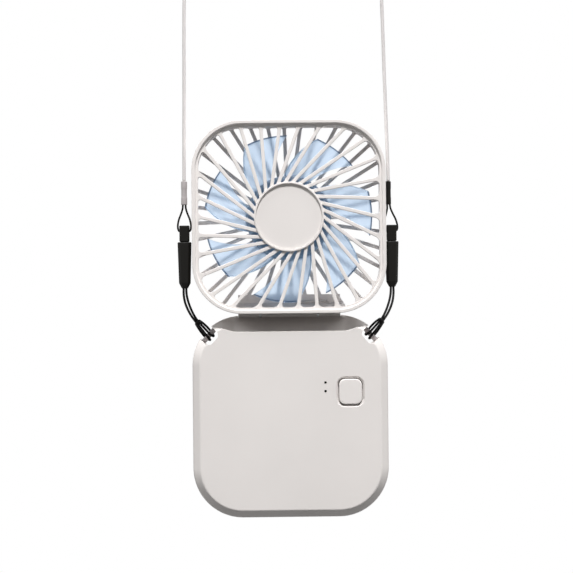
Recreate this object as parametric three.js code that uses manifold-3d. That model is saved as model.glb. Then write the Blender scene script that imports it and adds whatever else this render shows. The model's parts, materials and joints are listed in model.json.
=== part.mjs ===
// Folding neck fan: a square fan head hinged on a square battery base of the same width,
// hanging from a neck string by two quick-release buckles.
// Millimetres. +Z is up, the fan blows towards -Y and +X is on its right as it faces the viewer.
// The origin is the crown of the neck string. Inside the fan group the fan axis is x = 0, z = 0
// and the flat backs of the head and the base lie on y = 0.
import * as THREE from 'three';
import { mergeVertices } from 'three/addons/utils/BufferGeometryUtils.js';
import Module from 'manifold-3d';

const wasm = await Module();
wasm.setup();

// Fits
const FIT = 0.3; // clearance between neighbouring pieces
const TIGHT_FIT = 0.2; // clearance round the light pipes
const RUNNING_GAP = 0.4; // clearance round turning hinge knuckles

// Fan head
const FAN_WIDTH = 90.4; // width of the base, which the head's width follows
const HEAD_SIDE_STEP = 0.6; // the head is this much narrower on each side
const HEAD_WIDTH = FAN_WIDTH - 2 * HEAD_SIDE_STEP;
const HEAD_HEIGHT = 89;
const HEAD_DEPTH = 23;
const CORNER_RADIUS = 23;
const HEAD_WALL = 1.2;
const HEAD_EDGE = 0.4; // softened front and back edges
const HEAD_SPLIT = 11; // front rim to the joint between the two covers
const LIP_THICKNESS = 1;
const LIP_HEIGHT = 2.4;
const RIM_LIP = 1.2; // flat of the rim
const RIM_DRAFT = 0.3;
const RIM_DEPTH = 1.1; // rim to the face of the slats
const GRILLE_THICKNESS = 2.6;
const GRILLE_SIDE_BORDER = 2.9;
const GRILLE_END_BORDER = 2.85;
const SLAT_COUNT = 30;
const SLAT_WIDTH = 1.6;
const SLAT_TANGENT = 9.7; // radius of the circle that every slat's line touches
const SLAT_PHASE = -26.1; // degrees
const SLOT_FILLET = 1.4;
const HUB_RING_RADIUS = 16.8;
const HUB_RING_WALL = 0.9;
const HUB_RING_RISE = 0.6; // ring in front of the slats
const HUB_RECESS = 0.8; // ring to the face of the cap
const HUB_CAP_THICKNESS = 1.1;
const HUB_FLOOR = 1.8;
const BACK_PLATE = 2;
const BACK_BORDER = 1.3; // frame round the back grille
const BAR_COUNT = 36;
const BAR_WIDTH = 1.7;
const BAR_PHASE = 2; // degrees
const MOTOR_PLATE_RADIUS = 19;
const HINGE_BAND_HEIGHT = 9;

// Impeller and motor
const BLADE_COUNT = 7;
const BLADE_TIP_RADIUS = 39.2;
const BLADE_PHASE = 54; // degrees, middle of a tip
const BLADE_SWEEP = 24; // degrees that the root leads the tip
const BLADE_ROOT_ANGLE = 35;
const BLADE_TIP_ANGLE = 30;
const BLADE_THICKNESS = 1.1;
const BLADE_DEPTH = 8;
const BLADE_TWIST = 1.6; // how much flatter the tip lies, in depth, than the root
const IMPELLER_CLEARANCE = 5.3; // hub floor to impeller
const ROTOR_HUB_RADIUS = 19.7;
const ROTOR_HUB_WALL = 1.3;
const ROTOR_HUB_DEPTH = 8.6;
const YOKE_WALL = 0.8;
const MAGNET_THICKNESS = 1.6;
const AIR_GAP = 0.5;
const STATOR_TEETH = 9;
const STATOR_HUB_RADIUS = 6;
const STATOR_SHOE = 1; // thickness of a tooth's shoe
const STATOR_SHOE_SPREAD = 1.5; // width of a shoe against its tooth
const SLEEVE_RADIUS = 3.3;
const SHAFT_RADIUS = 1.5;
const MOTOR_BOARD_RADIUS = 11.5;
const BOARD_THICKNESS = 1;
const MOTOR_BOSS_WALL = 1.4;
const MOTOR_BOSS_HEIGHT = 2.6;

// Base
const BASE_WIDTH = FAN_WIDTH;
const BASE_HEIGHT = 93.3;
const BASE_DEPTH = 19;
const BASE_WALL = 2;
const BASE_BEVEL = 3.5;
const BASE_BACK_EDGE = 1.5;
const BASE_SPLIT = 9.5; // back to the joint between the two covers
const HEAD_TO_BASE = 0.7; // gap between head and base
const COVE_DEPTH = 7.7; // front edge of the cove below the top of the base
const COVE_EAR_DEPTH = 6.2; // the same at the ears
const COVE_SLOPE = 23; // degrees
const COVE_FLAT = 25; // half length of the flat front edge
const COVE_EAR_START = 32; // half length where the ears begin
const COVE_OVERRUN = 5; // the cove's cut runs this far past the front and the back

// Hinge
const HINGE_BACKSET = 0.5; // axis behind the backs
const KNUCKLE_RADIUS = 3.5;
const CENTRE_KNUCKLE_HALF = 13;
const KNUCKLE_GAP = 1; // room for a friction washer
const OUTER_KNUCKLE_LENGTH = 10;
const HINGE_PIN_RADIUS = 1.6;
const HINGE_PIN_INSET = 0.5;
const HINGE_TUBE_BORE = 1.1;
const HINGE_PIN_START = 4; // inner end of each pin
const WASHER_RADIUS = 3;
const WASHER_THICKNESS = 0.4;
const HINGE_WALL = 2;

// Lanyard corners of the base
const NOTCH_ANGLE = 42; // degrees above the horizontal
const NOTCH_WIDTH = 7.8;
const NOTCH_FLOOR = 17; // distance from the corner's centre
const NOTCH_CORNER = 2.2;
const LANYARD_PIN_RADIUS = 1.15;
const LANYARD_PIN_PLACE = 20.7; // distance from the corner's centre
const LANYARD_PIN_SEAT = 1.1; // length held in each wall
const NOTCH_REACH = 14; // the notch's cut runs this far past its floor

// Controls and electronics
const BUTTON_SIDE = 17.6; // button from the side of the base
const BUTTON_X = BASE_WIDTH / 2 - BUTTON_SIDE;
const BUTTON_Z = -80.7;
const BUTTON_WIDTH = 10.9;
const BUTTON_HEIGHT = 12;
const BUTTON_CORNER = 3;
const BUTTON_RISE = 0.3;
const BUTTON_SOFT = 0.7; // softened edge of the button's face
const BUTTON_TRAVEL = 0.5;
const BUTTON_FLANGE = 1.3;
const BUTTON_FLANGE_THICKNESS = 1;
const BUTTON_DISH = 0.8; // chamfer round the button's hole
const LED_OFF = 11.5; // lights from the button
const LED_X = BUTTON_X - LED_OFF;
const LED_UPPER_Z = -76.4;
const LED_LOWER_Z = -80.4;
const LED_RADIUS = 0.4;
const LED_SINK = 0.3;
const BOARD_SIDE = 10.7; // board from the side of the base
const BOARD_WIDTH = 26;
const BOARD_RIGHT = BASE_WIDTH / 2 - BOARD_SIDE;
const BOARD_LEFT = BOARD_RIGHT - BOARD_WIDTH;
const BOARD_TOP = -63;
const CIRCUIT_BOARD_THICKNESS = 1.2;
const SWITCH_SIZE = 6;
const SWITCH_HEIGHT = 2.7;
const SWITCH_WELL = 1.2;
const PLUNGER_RADIUS = 1.7;
const PLUNGER_LENGTH = 1.6;
const USB_OFF = 6.5; // socket from the left edge of the board
const USB_X = BOARD_LEFT + USB_OFF;
const USB_WIDTH = 9;
const USB_THICKNESS = 3.3;
const USB_LENGTH = 7.4;
const USB_SHELL = 0.4;
const USB_TONGUE_WIDTH = 6;
const USB_TONGUE_THICKNESS = 0.8;
const CHIP_SIZE = 5;
const CHIP_HEIGHT = 1.2;
const COIL_SIZE = 6;
const COIL_HEIGHT = 3;
const CELL_SIDE = 14.7; // cell from the side of the base
const CELL_TO_BOARD = 2.5;
const CELL_LEFT = -(BASE_WIDTH / 2 - CELL_SIDE);
const CELL_RIGHT = BOARD_LEFT - CELL_TO_BOARD;
const CELL_TOP = -70;
const CELL_BOTTOM = -128;
const CELL_THICKNESS = 10;
const CELL_EDGE = 3; // round corners of the cell
const CELL_BEVEL = 1;
const PAD_THICKNESS = 0.6;
const PAD_MARGIN = 6;
const RIB_WIDTH = 1.6;
const STANDOFF_RADIUS = 1.8;
const STANDOFF_X = LED_X;
const SCREW_RADIUS = 0.9;
const SCREW_HEAD_RADIUS = 1.9;
const SCREW_HEAD_HEIGHT = 1.2;
const SCREW_LENGTH = 12;
const SCREW_SINK = 0.3;
const BOSS_RADIUS = 2.6;
const SCREW_SIDE_INSET = 7; // upper screws from the side of the base
const UPPER_SCREW_DROP = 42; // upper screws below the top of the base
const LOWER_SCREW_INSET = 11.2; // lower screws from the side of the base
const LOWER_SCREW_RISE = 16; // lower screws above the bottom of the base
const LEAD_RADIUS = 0.45;

// Lanyard
const CORD_OFF = 3.2; // buckles from the side of the base
const RIGHT_LEAN = 1.3; // the right ferrule hangs this far inside its buckle
const LEFT_CORD_X = -(BASE_WIDTH / 2 + CORD_OFF);
const LEFT_CORD_Y = -14;
const RIGHT_CORD_X = BASE_WIDTH / 2 + CORD_OFF;
const RIGHT_CORD_Y = -5;
const RIGHT_FERRULE_X = RIGHT_CORD_X - RIGHT_LEAN;
const STRING_RADIUS = 0.8;
const CROWN_Y = -9.5;
const CROWN_Z = 155;
const FERRULE_TOP = 17.2;
const FERRULE_LENGTH = 10.9;
const LEFT_FERRULE_RADIUS = 1.4;
const RIGHT_FERRULE_RADIUS = 1.25;
const LOOP_RADIUS = 0.4;
const TIP_TOP = -3.3;
const TIP_WIDTH = 4.6;
const TIP_DEPTH = 3.2;
const TIP_LENGTH = 7.4;
const TIP_HOLE_DROP = 2.8;
const TIP_CORNER = 0.9;
const TONGUE_WIDTH = 3.7;
const TONGUE_DEPTH = 2;
const TONGUE_LENGTH = 13.5;
const BUCKLE_TOP_WIDTH = 6.4;
const BUCKLE_LOW_WIDTH = 5.3;
const BUCKLE_DEPTH = 4.4;
const BUCKLE_LENGTH = 21;
const BUCKLE_CHAMFER = 2;
const BUCKLE_FOOT_WIDTH = 3.6;
const BUCKLE_EDGE = 0.5;
const LOWER_CORD_RADIUS = 0.5;

// Places that follow from the sizes
const HEAD_FRONT = -HEAD_DEPTH;
const GRILLE_FRONT = HEAD_FRONT + RIM_DEPTH;
const GRILLE_BACK = GRILLE_FRONT + GRILLE_THICKNESS;
const HEAD_JOINT = HEAD_FRONT + HEAD_SPLIT;
const HUB_FRONT = GRILLE_FRONT - HUB_RING_RISE;
const CAP_FACE = HUB_FRONT + HUB_RECESS;
const CAP_SEAT = CAP_FACE + HUB_CAP_THICKNESS + FIT;
const HUB_BACK = CAP_SEAT + HUB_FLOOR;
const ROTOR_FRONT = HUB_BACK + IMPELLER_CLEARANCE;
const ROTOR_BACK = ROTOR_FRONT + ROTOR_HUB_DEPTH;
const PLATE_FACE = -BACK_PLATE;
const HEAD_BOTTOM = -HEAD_HEIGHT / 2;
const BASE_TOP = HEAD_BOTTOM - HEAD_TO_BASE;
const BASE_BOTTOM = BASE_TOP - BASE_HEIGHT;
const BASE_MIDDLE = (BASE_TOP + BASE_BOTTOM) / 2;
const BASE_FRONT = -BASE_DEPTH;
const BASE_JOINT = -BASE_SPLIT;
const BASE_FRONT_INSIDE = BASE_FRONT + BASE_WALL;
const BASE_BACK_INSIDE = -BASE_WALL;
const HINGE_Y = HINGE_BACKSET;
const HINGE_Z = HEAD_BOTTOM - HEAD_TO_BASE / 2;
const OUTER_KNUCKLE_START = CENTRE_KNUCKLE_HALF + KNUCKLE_GAP;
const OUTER_KNUCKLE_END = OUTER_KNUCKLE_START + OUTER_KNUCKLE_LENGTH;
const CORNER_X = BASE_WIDTH / 2 - CORNER_RADIUS;
const CORNER_Z = BASE_TOP - CORNER_RADIUS;
const BOARD_FRONT = BASE_FRONT_INSIDE + 2 * FIT + BUTTON_FLANGE_THICKNESS + PLUNGER_LENGTH + SWITCH_HEIGHT
  - SWITCH_WELL + BUTTON_TRAVEL;
const BOARD_BACK = BOARD_FRONT + CIRCUIT_BOARD_THICKNESS;
const TIP_BOTTOM = TIP_TOP - TIP_LENGTH;
const TIP_HOLE_Z = TIP_TOP - TIP_HOLE_DROP;
const BUCKLE_TOP = TIP_BOTTOM - FIT;
const BUCKLE_BOTTOM = BUCKLE_TOP - BUCKLE_LENGTH;
const FERRULE_BOTTOM = FERRULE_TOP - FERRULE_LENGTH;
const FAR = 200; // a length that reaches past the whole fan
const CUT_PAST = 1; // a cut runs this far past the face it starts from
const MITRE = Math.SQRT2 - 1; // how far a wall's corner shifts along a 45 degree bevel

const LEFT = -1;
const RIGHT = 1;

// Curves are drawn with these numbers of straight steps
const CORNER_STEPS = 6;
const ROUND_STEPS = 36;
const SMALL_ROUND_STEPS = 12;
const HINGE_ROUND_STEPS = 20;
const FILLET_STEPS = 2;
const CORD_SIDES = 8;
const STRING_STEPS = 54;
const UPPER_LOOP_STEPS = 26;
const LOWER_LOOP_STEPS = 64;
const UPPER_LEAD_STEPS = 30;
const LOWER_LEAD_STEPS = 22;
const BATTERY_LEAD_STEPS = 16;
const BLADE_STEPS_ACROSS = 4;
const BLADE_STEPS_ALONG = 5;

// Materials, with colours read from the photograph
const material = (color, roughness, metalness = 0) =>
  new THREE.MeshStandardMaterial({ color, roughness, metalness });
const SHELL_WHITE = 0xe0dbd8;
const CAP_WHITE = 0xe6e1de;
const BLADE_BLUE = 0xc8d7eb;
const STRING_GREY = 0xd9d5d4;
const FERRULE_GREY = 0xa9a3a3;
const BUCKLE_BLACK = 0x1f1e1a;
const STEEL = 0xb8b8ba;
const BRASS = 0xb08d4a;
const COPPER = 0xa8612f;
const BOARD_GREEN = 0x1d5a3a;
const CELL_SILVER = 0xc9ccd0;
const PAD_GREY = 0x55565a;
const LEAD_GREY = 0x8a8a8c;
const MAGNET_GREY = 0x3a3a3c;

// Basic solids

function solid(geometry) {
  const bare = geometry.index ? geometry.toNonIndexed() : geometry.clone();
  for (const name of Object.keys(bare.attributes)) {
    if (name !== 'position') bare.deleteAttribute(name);
  }
  const merged = mergeVertices(bare, 1e-4);
  const vertProperties = new Float32Array(merged.attributes.position.array);
  const triVerts = new Uint32Array(merged.index.array);
  return new wasm.Manifold(new wasm.Mesh({ numProp: 3, vertProperties, triVerts }));
}

function piece(name, body, look) {
  const made = body.getMesh();
  const geometry = new THREE.BufferGeometry();
  geometry.setAttribute('position', new THREE.BufferAttribute(new Float32Array(made.vertProperties), 3));
  geometry.setIndex(new THREE.BufferAttribute(new Uint32Array(made.triVerts), 1));
  geometry.computeVertexNormals();
  const mesh = new THREE.Mesh(geometry, look);
  mesh.name = name;
  return mesh;
}

function box(width, depth, height, x, y, z) {
  const geometry = new THREE.BoxGeometry(width, depth, height);
  geometry.translate(x, y, z);
  return solid(geometry);
}

// A block between two depths, centred on x and z
function block(width, height, front, back, x, z) {
  return box(width, back - front, height, x, (front + back) / 2, z);
}

// A round bar along Y
function barY(radius, front, back, x = 0, z = 0, steps = ROUND_STEPS) {
  const geometry = new THREE.CylinderGeometry(radius, radius, back - front, steps);
  geometry.translate(x, (front + back) / 2, z);
  return solid(geometry);
}

// A round bar along X on the hinge axis or another line
function barX(radius, from, to, y, z, steps = HINGE_ROUND_STEPS) {
  const geometry = new THREE.CylinderGeometry(radius, radius, to - from, steps);
  geometry.rotateZ(-Math.PI / 2);
  geometry.translate((from + to) / 2, y, z);
  return solid(geometry);
}

// A round bar between two points
function barBetween(radius, from, to, steps = SMALL_ROUND_STEPS) {
  const start = new THREE.Vector3(...from);
  const way = new THREE.Vector3(...to).sub(start);
  const geometry = new THREE.CylinderGeometry(radius, radius, way.length(), steps);
  const upright = new THREE.Vector3(0, 1, 0);
  const turn = new THREE.Quaternion().setFromUnitVectors(upright, way.clone().normalize());
  geometry.applyQuaternion(turn);
  geometry.translate(...start.addScaledVector(way, 0.5).toArray());
  return solid(geometry);
}

// A shape drawn in x and z, drawn out between two depths
function prism(shape, front, back, steps = FILLET_STEPS) {
  const geometry = new THREE.ExtrudeGeometry(shape, {
    depth: back - front,
    bevelEnabled: false,
    curveSegments: steps,
  });
  geometry.rotateX(Math.PI / 2);
  geometry.translate(0, back, 0);
  return solid(geometry);
}

// The points of a rounded rectangle, anticlockwise as seen from the front
function roundedOutline(width, height, radius, x, z) {
  const points = [];
  const corners = [[1, 1, 0], [-1, 1, 90], [-1, -1, 180], [1, -1, 270]];
  for (const [sx, sz, start] of corners) {
    for (let i = 0; i <= CORNER_STEPS; i++) {
      const turn = THREE.MathUtils.degToRad(start + (90 * i) / CORNER_STEPS);
      points.push([
        x + sx * (width / 2 - radius) + radius * Math.cos(turn),
        z + sz * (height / 2 - radius) + radius * Math.sin(turn),
      ]);
    }
  }
  return points;
}

// A slab with a rounded outline. Each section is a depth and how far the outline is drawn in there.
function roundedSlab(width, height, radius, z, sections, x = 0) {
  const rings = sections.map(([, inset]) =>
    roundedOutline(width - 2 * inset, height - 2 * inset, radius - inset, x, z));
  const count = rings[0].length;
  const positions = [];
  const index = [];
  rings.forEach((ring, level) => ring.forEach(([px, pz]) => positions.push(px, sections[level][0], pz)));
  const frontCentre = positions.length / 3;
  positions.push(x, sections[0][0], z);
  const backCentre = frontCentre + 1;
  positions.push(x, sections[sections.length - 1][0], z);
  for (let k = 0; k < count; k++) {
    const next = (k + 1) % count;
    index.push(frontCentre, k, next);
    for (let level = 0; level + 1 < rings.length; level++) {
      const here = level * count;
      const there = here + count;
      index.push(here + k, there + k, here + next, here + next, there + k, there + next);
    }
    const last = (rings.length - 1) * count;
    index.push(backCentre, last + next, last + k);
  }
  const geometry = new THREE.BufferGeometry();
  geometry.setAttribute('position', new THREE.Float32BufferAttribute(positions, 3));
  geometry.setIndex(index);
  return solid(geometry);
}

// A solid of revolution about the fan axis, from a closed profile of radius and depth pairs
function turned(profile, steps = ROUND_STEPS) {
  const points = profile.map(([radius, y]) => new THREE.Vector2(radius, y));
  points.push(points[0].clone());
  return solid(new THREE.LatheGeometry(points, steps));
}

function ringY(inner, outer, front, back, steps = ROUND_STEPS) {
  return turned([[inner, front], [outer, front], [outer, back], [inner, back]], steps);
}

// A cord or lead along a curve through the points
function cord(points, radius, steps) {
  const places = points.map((point) => new THREE.Vector3(...point));
  const curve = new THREE.CatmullRomCurve3(places, false, 'centripetal');
  const section = new THREE.Shape();
  for (let i = 0; i < CORD_SIDES; i++) {
    const turn = (2 * Math.PI * i) / CORD_SIDES;
    const place = [radius * Math.cos(turn), radius * Math.sin(turn)];
    if (i === 0) section.moveTo(...place);
    else section.lineTo(...place);
  }
  section.closePath();
  return solid(new THREE.ExtrudeGeometry(section, { steps, extrudePath: curve, bevelEnabled: false }));
}

// Grilles

// True where a point lies inside a rounded rectangle round the fan axis
function insideRounded(x, z, halfWidth, halfHeight, radius) {
  const overX = Math.max(Math.abs(x) - (halfWidth - radius), 0);
  const overZ = Math.max(Math.abs(z) - (halfHeight - radius), 0);
  return Math.abs(x) < halfWidth && Math.abs(z) < halfHeight && Math.hypot(overX, overZ) < radius;
}

// How far a line runs before it leaves the opening
function reach(start, way, inside) {
  let near = 0;
  let far = FAR;
  for (let i = 0; i < 40; i++) {
    const middle = (near + far) / 2;
    if (inside(start[0] + way[0] * middle, start[1] + way[1] * middle)) near = middle;
    else far = middle;
  }
  return near;
}

// One slot between two neighbouring bars. Each bar's edge is a straight line that passes the
// fan axis at the given distance, and the slot ends on the opening's outline with filleted corners.
function slotShape(angle, step, tangent, width, innerRadius, inside) {
  const lines = [[angle, tangent + width / 2], [angle + step, tangent - width / 2]];
  const edges = lines.map(([turn, offset]) => {
    const way = [Math.cos(turn), Math.sin(turn)];
    const foot = [-way[1] * offset, way[0] * offset];
    const inner = Math.sqrt(innerRadius ** 2 - offset ** 2);
    const outer = reach(foot, way, inside);
    const at = (along) => [foot[0] + way[0] * along, foot[1] + way[1] * along];
    return { inner: at(inner), nearEnd: at(outer - SLOT_FILLET), end: at(outer) };
  });
  const polar = ([x, z]) => Math.atan2(z, x);
  const between = (from, to, share) => {
    const turn = Math.atan2(Math.sin(to - from), Math.cos(to - from));
    return from + turn * share;
  };
  const [first, second] = edges;
  const rimPoint = (share) => {
    const turn = between(polar(first.end), polar(second.end), share);
    const way = [Math.cos(turn), Math.sin(turn)];
    const far = reach([0, 0], way, inside);
    return [way[0] * far, way[1] * far];
  };
  const rimLength = Math.hypot(second.end[0] - first.end[0], second.end[1] - first.end[1]);
  const filletShare = Math.min(SLOT_FILLET / rimLength, 0.4);
  const shape = new THREE.Shape();
  shape.moveTo(...first.inner);
  shape.lineTo(...first.nearEnd);
  shape.quadraticCurveTo(...first.end, ...rimPoint(filletShare));
  shape.lineTo(...rimPoint(0.5));
  shape.lineTo(...rimPoint(1 - filletShare));
  shape.quadraticCurveTo(...second.end, ...second.nearEnd);
  shape.lineTo(...second.inner);
  const middleTurn = between(polar(second.inner), polar(first.inner), 0.5);
  shape.lineTo(innerRadius * Math.cos(middleTurn), innerRadius * Math.sin(middleTurn));
  shape.closePath();
  return shape;
}

function cutSlots(body, count, phase, tangent, width, innerRadius, inside, front, back) {
  const step = (2 * Math.PI) / count;
  let cut = body;
  for (let k = 0; k < count; k++) {
    const angle = THREE.MathUtils.degToRad(phase) + k * step;
    cut = cut.subtract(prism(slotShape(angle, step, tangent, width, innerRadius, inside), front, back));
  }
  return cut;
}

const OPENING_HALF_WIDTH = HEAD_WIDTH / 2 - GRILLE_SIDE_BORDER;
const OPENING_HALF_HEIGHT = HEAD_HEIGHT / 2 - GRILLE_END_BORDER;
const OPENING_RADIUS = CORNER_RADIUS - GRILLE_SIDE_BORDER;
const insideOpening = (x, z) =>
  insideRounded(x, z, OPENING_HALF_WIDTH, OPENING_HALF_HEIGHT, OPENING_RADIUS);
const insideBackOpening = (x, z) => {
  const onBand = Math.abs(x) < OUTER_KNUCKLE_END && z < HEAD_BOTTOM + HINGE_BAND_HEIGHT;
  const inFrame = insideRounded(x, z, HEAD_WIDTH / 2 - BACK_BORDER, HEAD_HEIGHT / 2 - BACK_BORDER,
    CORNER_RADIUS - BACK_BORDER);
  return inFrame && !onBand;
};

// Hinge cuts and knuckles

const hingeBar = (radius, from, to) => barX(radius, from, to, HINGE_Y, HINGE_Z);

function bothSides(make) {
  return make(LEFT).add(make(RIGHT));
}

// A bar on the hinge axis from one distance to another, on one side
function sideHingeBar(radius, from, to, side) {
  return side === RIGHT ? hingeBar(radius, from, to) : hingeBar(radius, -to, -from);
}

const KNUCKLE_ROOM = KNUCKLE_RADIUS + RUNNING_GAP;
const HINGE_HUMP = KNUCKLE_ROOM + HINGE_WALL;
const PIN_BORE = HINGE_PIN_RADIUS + FIT;
const LEAD_HOLE = LEAD_RADIUS + 2 * FIT;
const LEAD_X = (OUTER_KNUCKLE_START + OUTER_KNUCKLE_END) / 2;
const LEAD_HOLE_TOP = [LEAD_X, HINGE_Y - HINGE_HUMP / 2, HINGE_Z + HINGE_HUMP];
const leadHole = () => barBetween(LEAD_HOLE, LEAD_HOLE_TOP, [LEAD_X, HINGE_Y, HINGE_Z]);

// Fan head

function headSlab(sections) {
  return roundedSlab(HEAD_WIDTH, HEAD_HEIGHT, CORNER_RADIUS, 0, sections);
}

function headFrontCover() {
  const end = HEAD_JOINT - FIT / 2;
  const outside = headSlab([[HEAD_FRONT, HEAD_EDGE], [HEAD_FRONT + HEAD_EDGE, 0], [end, 0]]);
  const lip = RIM_LIP + HEAD_EDGE;
  const rim = headSlab([[HEAD_FRONT - CUT_PAST, lip], [GRILLE_FRONT, lip + RIM_DRAFT]]);
  const room = headSlab([[GRILLE_BACK, HEAD_WALL], [end + CUT_PAST, HEAD_WALL]]);
  const plate = outside.subtract(rim).subtract(room);
  const cut = cutSlots(plate, SLAT_COUNT, SLAT_PHASE, SLAT_TANGENT, SLAT_WIDTH, HUB_RING_RADIUS,
    insideOpening, GRILLE_FRONT - CUT_PAST, GRILLE_BACK + CUT_PAST);
  const hub = barY(HUB_RING_RADIUS, HUB_FRONT, HUB_BACK);
  const seat = barY(HUB_RING_RADIUS - HUB_RING_WALL, HUB_FRONT - CUT_PAST, CAP_SEAT);
  return piece('head_front_cover', cut.add(hub).subtract(seat), material(SHELL_WHITE, 0.55));
}

function hubCap() {
  const radius = HUB_RING_RADIUS - HUB_RING_WALL - FIT;
  return piece('hub_cap', barY(radius, CAP_FACE, CAP_SEAT - FIT), material(CAP_WHITE, 0.45));
}

function headBackCover() {
  const start = HEAD_JOINT + FIT / 2;
  const outside = headSlab([[start, 0], [-HEAD_EDGE, 0], [0, HEAD_EDGE]]);
  const room = headSlab([[start - CUT_PAST, HEAD_WALL], [PLATE_FACE, HEAD_WALL]]);
  const lipTop = start - LIP_HEIGHT;
  const lipInset = HEAD_WALL + FIT;
  const lipEnd = start + LIP_THICKNESS;
  const lipInside = lipInset + LIP_THICKNESS;
  const lipRoom = headSlab([[lipTop - CUT_PAST, lipInside], [lipEnd + CUT_PAST, lipInside]]);
  const lip = headSlab([[lipTop, lipInset], [lipEnd, lipInset]])
    .add(headSlab([[start, HEAD_WALL / 2], [lipEnd, HEAD_WALL / 2]]))
    .subtract(lipRoom);
  const hump = hingeBar(HINGE_HUMP, -OUTER_KNUCKLE_END - HINGE_WALL, OUTER_KNUCKLE_END + HINGE_WALL);
  const shell = outside.subtract(room.subtract(hump));
  const slotted = cutSlots(shell, BAR_COUNT, BAR_PHASE, 0, BAR_WIDTH, MOTOR_PLATE_RADIUS, insideBackOpening,
    PLATE_FACE - CUT_PAST, CUT_PAST);
  const bossTop = PLATE_FACE - MOTOR_BOSS_HEIGHT;
  const boss = barY(SLEEVE_RADIUS + FIT + MOTOR_BOSS_WALL, bossTop, PLATE_FACE + BACK_PLATE / 2);
  const bossBore = barY(SLEEVE_RADIUS + FIT, bossTop - CUT_PAST, PLATE_FACE);
  const knuckles = bothSides((side) =>
    sideHingeBar(KNUCKLE_RADIUS, OUTER_KNUCKLE_START, OUTER_KNUCKLE_END, side));
  const centreHalf = CENTRE_KNUCKLE_HALF + KNUCKLE_GAP;
  const bores = hingeBar(PIN_BORE, -OUTER_KNUCKLE_END - CUT_PAST, OUTER_KNUCKLE_END + CUT_PAST);
  const body = slotted.add(lip).add(boss).subtract(bossBore)
    .subtract(hingeBar(KNUCKLE_ROOM, -centreHalf, centreHalf))
    .add(knuckles)
    .subtract(bores)
    .subtract(leadHole());
  return piece('head_back_cover', body, material(SHELL_WHITE, 0.55));
}

// Impeller and motor

function blade(middle) {
  const across = BLADE_STEPS_ACROSS;
  const along = BLADE_STEPS_ALONG;
  const rootRadius = ROTOR_HUB_RADIUS - ROTOR_HUB_WALL / 2;
  const rootFront = ROTOR_FRONT + BLADE_THICKNESS / 2;
  const surface = (face) => {
    const points = [];
    for (let i = 0; i <= along; i++) {
      const out = i / along;
      const radius = THREE.MathUtils.lerp(rootRadius, BLADE_TIP_RADIUS, out);
      const chord = THREE.MathUtils.lerp(BLADE_ROOT_ANGLE, BLADE_TIP_ANGLE, out);
      const depth = BLADE_DEPTH - BLADE_TWIST * out;
      for (let j = 0; j <= across; j++) {
        const over = j / across - 0.5;
        const turn = THREE.MathUtils.degToRad(middle + BLADE_SWEEP * (1 - out) + chord * over);
        const camber = BLADE_THICKNESS * (1 - 4 * over * over);
        const y = rootFront + BLADE_DEPTH / 2 - depth * over + camber + (face * BLADE_THICKNESS) / 2;
        points.push([radius * Math.cos(turn), y, radius * Math.sin(turn)]);
      }
    }
    return points;
  };
  const front = surface(-1);
  const back = surface(1);
  const shift = front.length;
  const row = across + 1;
  const index = [];
  const quad = (a, b, c, d) => index.push(a, b, c, a, c, d);
  for (let i = 0; i < along; i++) {
    for (let j = 0; j < across; j++) {
      const a = i * row + j;
      quad(a, a + row, a + row + 1, a + 1);
      quad(shift + a, shift + a + 1, shift + a + row + 1, shift + a + row);
    }
  }
  for (let i = 0; i < along; i++) {
    const low = i * row;
    const high = low + across;
    quad(low, shift + low, shift + low + row, low + row);
    quad(high, high + row, shift + high + row, shift + high);
  }
  for (let j = 0; j < across; j++) {
    const tip = along * row + j;
    quad(j, j + 1, shift + j + 1, shift + j);
    quad(tip, shift + tip, shift + tip + 1, tip + 1);
  }
  const geometry = new THREE.BufferGeometry();
  geometry.setAttribute('position', new THREE.Float32BufferAttribute([...front, ...back].flat(), 3));
  geometry.setIndex(index);
  return solid(geometry);
}

const HUB_INNER = ROTOR_HUB_RADIUS - ROTOR_HUB_WALL;
const YOKE_RADIUS = HUB_INNER - FIT;
const YOKE_FRONT = ROTOR_FRONT + ROTOR_HUB_WALL + FIT;
const MAGNET_RADIUS = YOKE_RADIUS - YOKE_WALL - FIT;
const STATOR_RADIUS = MAGNET_RADIUS - MAGNET_THICKNESS - AIR_GAP;
const SHAFT_BORE = SHAFT_RADIUS + FIT;
const MAGNET_FRONT = YOKE_FRONT + YOKE_WALL + FIT;
const STATOR_BACK = PLATE_FACE - MOTOR_BOSS_HEIGHT - FIT;

function impeller() {
  let body = turned([
    [SHAFT_BORE, ROTOR_FRONT], [HUB_INNER, ROTOR_FRONT],
    [ROTOR_HUB_RADIUS, ROTOR_FRONT + ROTOR_HUB_WALL], [ROTOR_HUB_RADIUS, ROTOR_BACK],
    [HUB_INNER, ROTOR_BACK], [HUB_INNER, ROTOR_FRONT + ROTOR_HUB_WALL],
    [SHAFT_BORE, ROTOR_FRONT + ROTOR_HUB_WALL],
  ]);
  for (let k = 0; k < BLADE_COUNT; k++) body = body.add(blade(BLADE_PHASE + (360 * k) / BLADE_COUNT));
  return piece('impeller', body, material(BLADE_BLUE, 0.3));
}

function rotorYoke() {
  const body = turned([
    [SHAFT_BORE, YOKE_FRONT], [YOKE_RADIUS, YOKE_FRONT], [YOKE_RADIUS, ROTOR_BACK],
    [YOKE_RADIUS - YOKE_WALL, ROTOR_BACK], [YOKE_RADIUS - YOKE_WALL, YOKE_FRONT + YOKE_WALL],
    [SHAFT_BORE, YOKE_FRONT + YOKE_WALL],
  ]);
  return piece('rotor_yoke', body, material(STEEL, 0.35, 1));
}

function magnetRing() {
  const body = ringY(MAGNET_RADIUS - MAGNET_THICKNESS, MAGNET_RADIUS, MAGNET_FRONT, ROTOR_BACK - FIT);
  return piece('magnet_ring', body, material(MAGNET_GREY, 0.6));
}

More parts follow.
